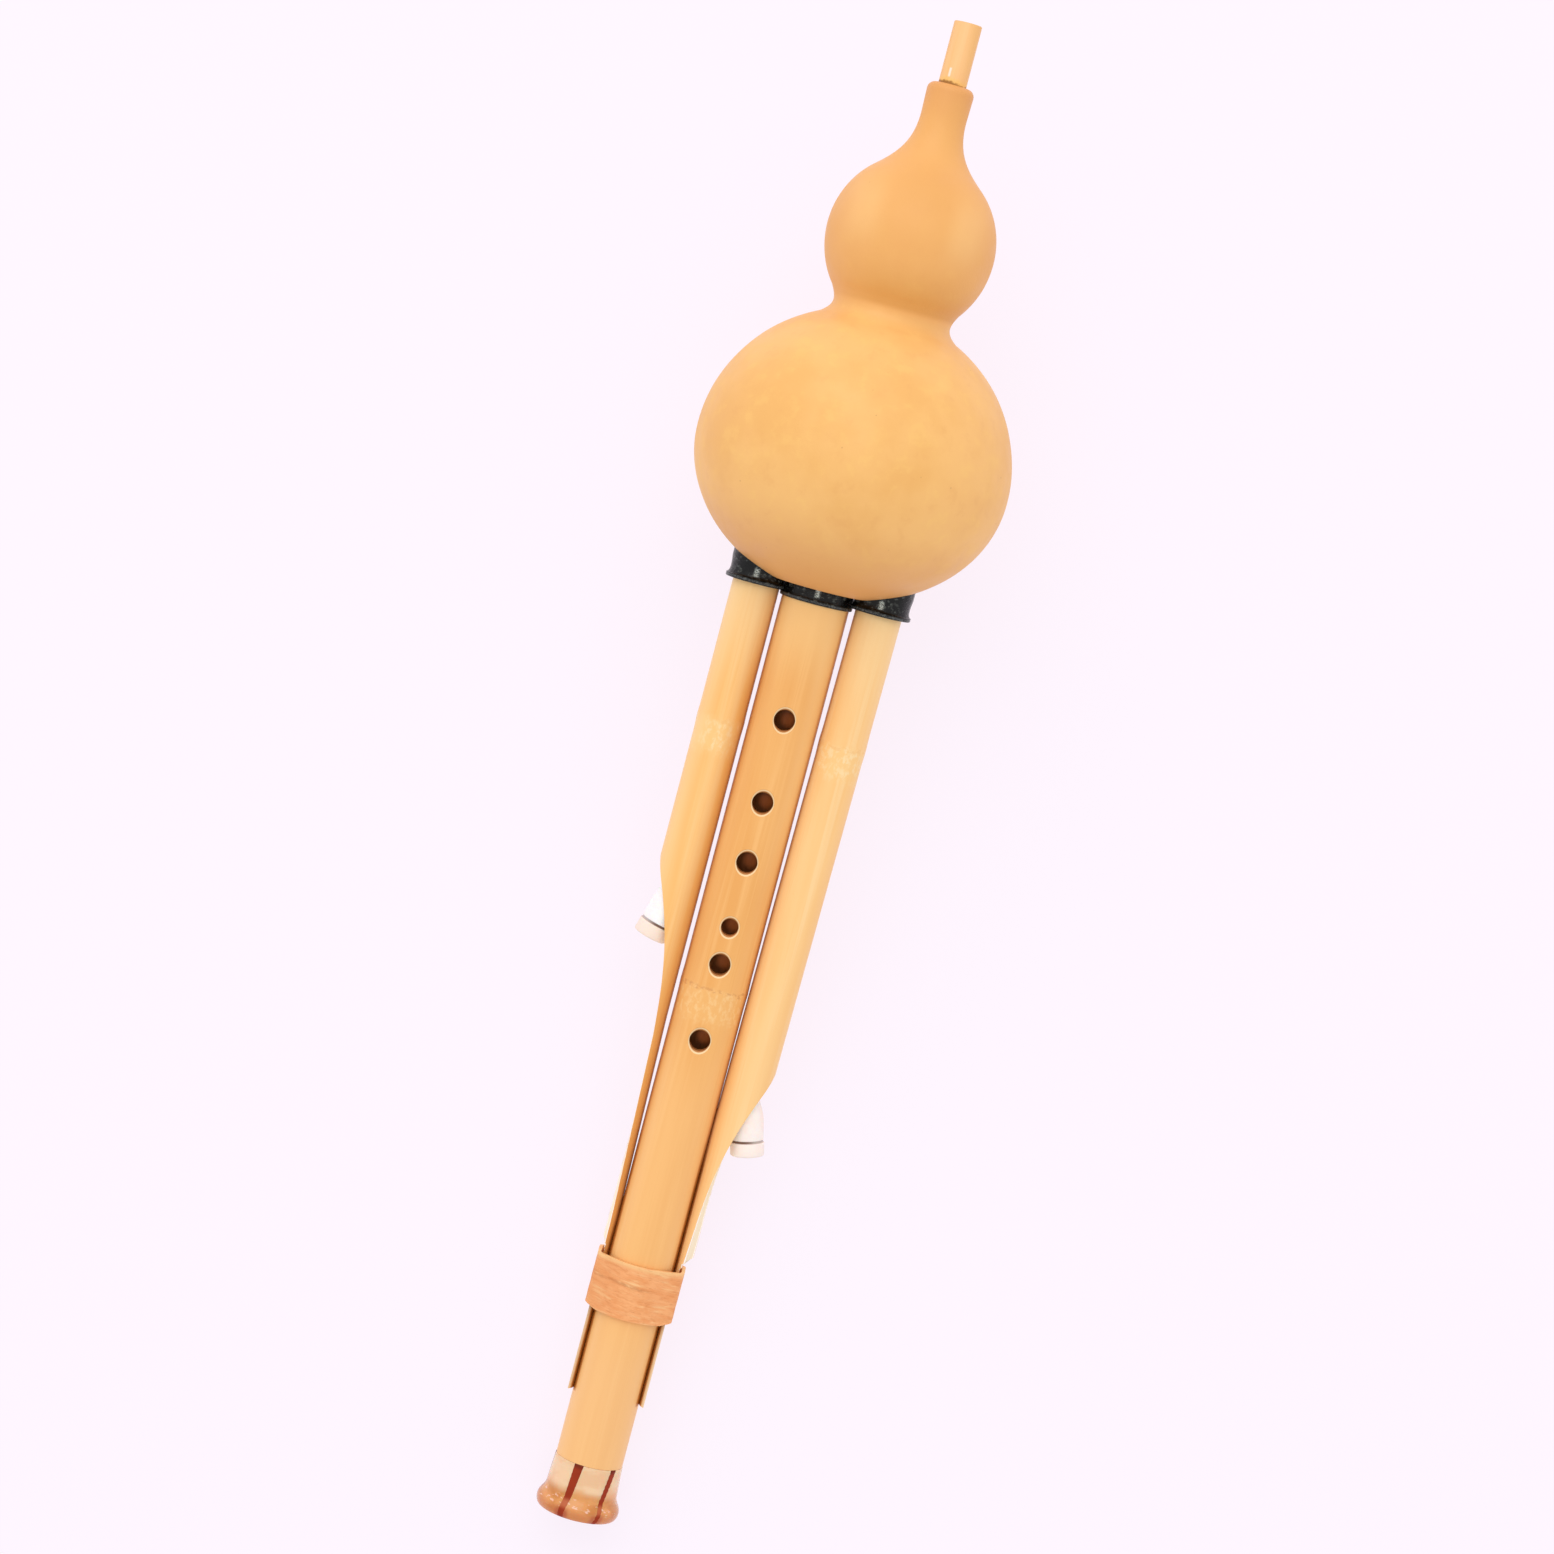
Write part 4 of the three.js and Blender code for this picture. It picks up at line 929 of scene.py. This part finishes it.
def binding_reach(angle, outward):
    """How far out the strip lies at an angle: over the pipe, slanting, or flat on a tongue."""
    middle = SEAT_GAP + RATTAN["thickness"] / 2
    beside = PIPE_RADIUS + SEAT_GAP + TONGUE_THICKNESS + middle
    over = PIPE_RADIUS + middle
    half_tongue = sqrt(DRONE_RADIUS ** 2 - (DRONE_RADIUS - TONGUE_THICKNESS) ** 2)
    corner = atan2(half_tongue + RATTAN["thickness"] / 2, beside)
    touch = corner + acos(over / (beside / cos(corner)))
    folded = atan2(abs(sin(angle)), abs(cos(angle)))
    if folded < corner:
        return (beside + outward) / cos(folded)
    if folded < touch:
        return (over + outward) / cos(touch - folded)
    return over + outward


def binding():
    half, thick = RATTAN["width"] / 2, RATTAN["thickness"] / 2
    section = [
        (-thick, -half), (-thick, half), (0, half),
        *[(share * thick, half - inset) for share, inset in RATTAN_EDGE],
        *[(share * thick, inset - half) for share, inset in reversed(RATTAN_EDGE)], (0, -half)]
    shape = bmesh.new()
    rim = [shape.verts.new((outward, 0, upward)) for outward, upward in section]
    edges = [shape.edges.new(pair) for pair in zip(rim, rim[1:] + rim[:1])]
    shape.faces.new(rim)
    steps = round(RATTAN["turns"] * RATTAN["steps"])

    def settle(verts, step):
        angle = FULL_TURN * step / RATTAN["steps"]
        drop = RATTAN["pitch"] * step / RATTAN["steps"]
        near = [angle + nudge for nudge in (-RATTAN_BEND, 0, RATTAN_BEND)]
        for vert, (outward, upward) in zip(verts, section):
            radius = sum(binding_reach(spot, outward) for spot in near) / len(near)
            vert.co = (radius * cos(angle), radius * sin(angle), RATTAN_START - drop + upward)
            swell = noise.noise(vert.co / RATTAN_SWELL["length"]) if outward > 0 else 0
            vert.co.xy *= 1 - RATTAN_SWELL["depth"] * max(0, swell) / radius
            place = Vector((0, 0, RATTAN_WANDER["seed"])) + vert.co / RATTAN_WANDER["length"]
            vert.co.z += RATTAN_WANDER["reach"] * noise.noise(place)

    settle(rim, 0)
    verts = rim
    for step in range(1, steps + 1):
        grown = bmesh.ops.extrude_edge_only(shape, edges=edges)["geom"]
        fresh = {vert for vert in grown if isinstance(vert, bmesh.types.BMVert)}
        links = {
            vert: next(edge.other_vert(vert) for edge in vert.link_edges if edge.other_vert(vert) in fresh)
            for vert in verts}
        verts = [links[vert] for vert in verts]
        edges = [edge for edge in grown if isinstance(edge, bmesh.types.BMEdge)
                 and edge.verts[0] in fresh and edge.verts[1] in fresh]
        settle(verts, step)
    shape.faces.new(verts)
    for height, side in [(BINDING["top"], 1), (BINDING["foot"], -1)]:
        geometry = [*shape.verts, *shape.edges, *shape.faces]
        cut = bmesh.ops.bisect_plane(
            shape, geom=geometry, dist=0.0001, plane_co=(0, 0, height), plane_no=(0, 0, side),
            clear_outer=True)
        rims = [edge for edge in cut["geom_cut"] if isinstance(edge, bmesh.types.BMEdge)]
        bmesh.ops.holes_fill(shape, edges=rims, sides=0)
    for vert in shape.verts:
        low = max(0, 1 - (vert.co.z - BINDING["foot"]) / RATTAN["pitch"])
        beside = min(1, max(0, abs(vert.co.x) - PIPE_RADIUS + SEAT_GAP) / TONGUE_THICKNESS / 2)
        vert.co.z += RATTAN_TRIM * low * beside
    bmesh.ops.recalc_face_normals(shape, faces=shape.faces)
    return shape


def rattan_finish():
    finish = Finish("split_rattan", Specular_IOR_Level=0.35)
    across, deep, height = finish.parts()
    angle = finish.node("Math", {"operation": "ARCTAN2"}, {0: deep, 1: across})
    wander = (finish.grain((5, 5, 5), detail=2, shift=27) - 0.5) * 1.6
    climbed = height + angle * (RATTAN["pitch"] / FULL_TURN)
    edge = RATTAN_START + RATTAN["width"] / 2 - 3 * RATTAN["pitch"]
    along = finish.node("CombineXYZ", sockets={0: angle * PIPE_RADIUS, 1: 0.0, 2: climbed})
    fibres = finish.grain((6, 1, 0.3), detail=5, roughness=0.65, place=along)
    cracks = finish.grain((3.2, 1, 0.7), detail=4, roughness=0.7, shift=6, place=along)
    drift = finish.grain((5, 1, 2.0), detail=3, shift=12, place=along)
    # Light patches: partly worn rattan, partly painted highlights.
    worn_and_sheen = finish.grain((8, 1, 1.7), detail=3, shift=19, place=along)
    dark = finish.grain((3, 1, 0.8), detail=4, shift=33, place=along)
    # Painted shade: a dark line along one seam between turns, fading out to the right.
    seam_shade = (climbed + wander).near(edge, 0.9, 0.1) * across.rise(7.0, 1.0)
    # Painted highlight: a pale band along the binding's top edge.
    upper = (height - BINDING["top"]).rise(-1.8, -0.3) * drift.rise(0.3, 0.5)
    tone = finish.washed(
        paint(250, 176, 116), (drift.rise(0.36, 0.66), paint(242, 160, 98)),
        (fibres.rise(0.5, 0.7) * 0.4, paint(255, 196, 142)),
        (cracks.rise(0.56, 0.68) * 0.5, paint(206, 122, 66)),
        (worn_and_sheen.rise(0.52, 0.7) * 0.75, paint(255, 208, 148)),
        (dark.rise(0.54, 0.64) * 0.45, paint(226, 140, 76)),
        (seam_shade * cracks.rise(0.36, 0.52) * 0.5, paint(190, 108, 52)),
        (across.rise(-3.0, -9.0) * 0.35, paint(230, 150, 90)), (upper * 0.7, paint(255, 208, 144)))
    return finish.surface(tone, fibres * 0.25 + 0.45, fibres * 0.5 - cracks * 0.5, 0.35)


laid("wound_rattan", binding(), rattan_finish(), "rattan_binding", sharp=50)


# Stoppers
# White silicone plugs, pushed up into the drones from the scoop to silence them. A round flange to
# pull them by stands out below, a groove parts it from the body, and the nose tapers inside.
PLUG = {
    "body": 4.85, "flange": 5.0, "flange_thickness": 4.2, "groove": 4.62, "groove_width": 0.6,
    "body_length": 13.6, "taper": 6.5, "nose": 3.2, "tip": 1.0, "tip_length": 7.0, "crossing": 7.0,
    "edge": 0.7, "tilt": 14.5,
}


def eased(corners, steps=5):
    """Rounds the marked corners of an outline; each corner is (radius, height, rounding)."""
    outline = []
    for index, (radius, height, rounding) in enumerate(corners):
        spot = Vector((radius, height))
        if not rounding:
            outline.append(spot)
            continue
        beside = [Vector(corners[neighbour][:2]) for neighbour in (index - 1, index + 1)]
        start, end = [spot + (other - spot).normalized() * rounding for other in beside]
        outline += interpolate_bezier(start, spot.lerp(start, 0.45), spot.lerp(end, 0.45), end, steps)
    return outline


def crossing(drone):
    """Where a plug's axis crosses its pipe's, across and up, with the pipe as the wood is bent."""
    height = drone["scoop"] - PLUG["crossing"]
    bent = (drone["bend"] - height) / (drone["bend"] - BINDING["top"])
    return drone_axis(drone) - drone["side"] * max(0, bent) * (drone["gap"] - SEAT_GAP), height


def plug(drone):
    foot = -drone["plug_reach"] - PLUG["flange_thickness"] / 2
    flange = foot + PLUG["flange_thickness"]
    body = flange + PLUG["groove_width"]
    taper = body + PLUG["body_length"] - PLUG["taper"]
    nose = taper + PLUG["taper"]
    tip = nose + PLUG["tip_length"]
    edge = PLUG["edge"]
    shape = spun(eased([
        (0, foot, 0), (PLUG["flange"], foot, edge), (PLUG["flange"], flange, 0.35),
        (PLUG["groove"], flange, 0), (PLUG["groove"], body, 0), (PLUG["body"], body, 0.35),
        (PLUG["body"], taper, 1.5), (PLUG["nose"], nose, 1.2), (PLUG["tip"], tip, 0.6),
        (0, tip, 0)]), sides=72, loop=False)
    across, height = crossing(drone)
    tilt = Matrix.Rotation(-drone["side"] * radians(PLUG["tilt"]), 4, "Y")
    return placed(shape, tilt, moved(across, height))


def silicone_finish(name, drone):
    finish = Finish(
        f"{name}_white_silicone", Subsurface_Weight=0.1, Subsurface_Scale=0.002, Specular_IOR_Level=0.35)
    across, _, height = finish.parts()
    middle, level = crossing(drone)
    tilt = radians(PLUG["tilt"])
    along = (height - level) * cos(tilt) - (across - middle) * (drone["side"] * sin(tilt))
    groove = (PLUG["flange_thickness"] + PLUG["groove_width"]) / 2 - drone["plug_reach"]
    haze = finish.grain((5, 5, 5), detail=3)
    dust = finish.grain((0.25, 0.25, 0.25), detail=2, shift=4)
    white, clouded = drone["plug_tones_and_light"]
    # Painted shade: the groove turns brown, more on the side towards the main pipe.
    groove_shade = along.near(groove, 0.5, 0.2)
    inner = ((across - middle) * drone["side"]).rise(6.5, 2.5) * 0.45 + 0.5
    # Painted shade: the flange is a darker cream than the body.
    tone = finish.washed(
        white, (haze.rise(0.35, 0.65), clouded),
        (along.rise(groove, groove - 0.4) * 0.8, drone["flange_shade_tone"]),
        (groove_shade * inner, paint(112, 70, 46)))
    return finish.surface(tone, haze * 0.15 + 0.42, dust, 0.02)


for name, drone in DRONES.items():
    silicone = silicone_finish(name, drone)
    stopper = f"{name}_stopper"
    laid(f"{name}_plug", plug(drone), silicone, stopper, body=stopper, sharp=40)


# Table, light and camera
# A plain pale floor under soft studio light, seen from straight above, with the instrument's
# mouthpiece end turned a little to the right of upright.
CAMERA_HEIGHT = 1.25
CAMERA_PLACE = (0.00226, -0.0021)
SEEN_HEIGHT = 0.035
SEEN_WIDTH = 0.45174
PHOTO_TILT = 14.81
FLOOR_REACH = 4
KEY_LIGHT = {"place": Vector((1.0, 0.32, 1.2)), "aim": Vector((0, 0, 0.04)), "size": 1.6, "power": 9.3}
SKY = {"Color": (1.0, 1.0, 1.0, 1.0), "Strength": 0.86}


def floor():
    shape = bmesh.new()
    bmesh.ops.create_grid(shape, x_segments=1, y_segments=1, size=FLOOR_REACH)
    piece = as_object(shape, "floor")
    finish = Finish("pale_floor", Roughness=0.9, Specular_IOR_Level=0.0, Emission_Strength=0.85)
    faint = finish.grain((0.4, 0.4, 0.4), detail=1, place=finish.node("TexCoord", output=3))
    tone = finish.mix(faint, paint(110, 104, 110), paint(108, 102, 108))
    finish.feed(finish.shader.inputs["Base Color"], tone)
    finish.feed(finish.shader.inputs["Emission Color"], paint(254, 246, 255))
    piece.data.materials.append(finish.material)


def key_light():
    light = bpy.data.lights.new("key_light", "AREA")
    light.shape = "SQUARE"
    light.size = KEY_LIGHT["size"]
    light.energy = KEY_LIGHT["power"]
    lamp = bpy.data.objects.new("key_light", light)
    lamp.location = KEY_LIGHT["place"]
    lamp.rotation_euler = (KEY_LIGHT["aim"] - KEY_LIGHT["place"]).to_track_quat("-Z", "Y").to_euler()
    bpy.context.scene.collection.objects.link(lamp)


floor()
key_light()

world = bpy.data.worlds.new("studio")
world.use_nodes = True
for socket, value in SKY.items():
    world.node_tree.nodes["Background"].inputs[socket].default_value = value
bpy.context.scene.world = world

camera = bpy.data.objects.new("camera", bpy.data.cameras.new("camera"))
camera.data.angle = 2 * atan(SEEN_WIDTH / 2 / (CAMERA_HEIGHT - SEEN_HEIGHT))
camera.location = (*CAMERA_PLACE, CAMERA_HEIGHT)
camera.rotation_euler = (0, 0, radians(PHOTO_TILT - 90))
bpy.context.scene.collection.objects.link(camera)
bpy.context.scene.camera = camera
bpy.context.scene.view_settings.view_transform = "Standard"
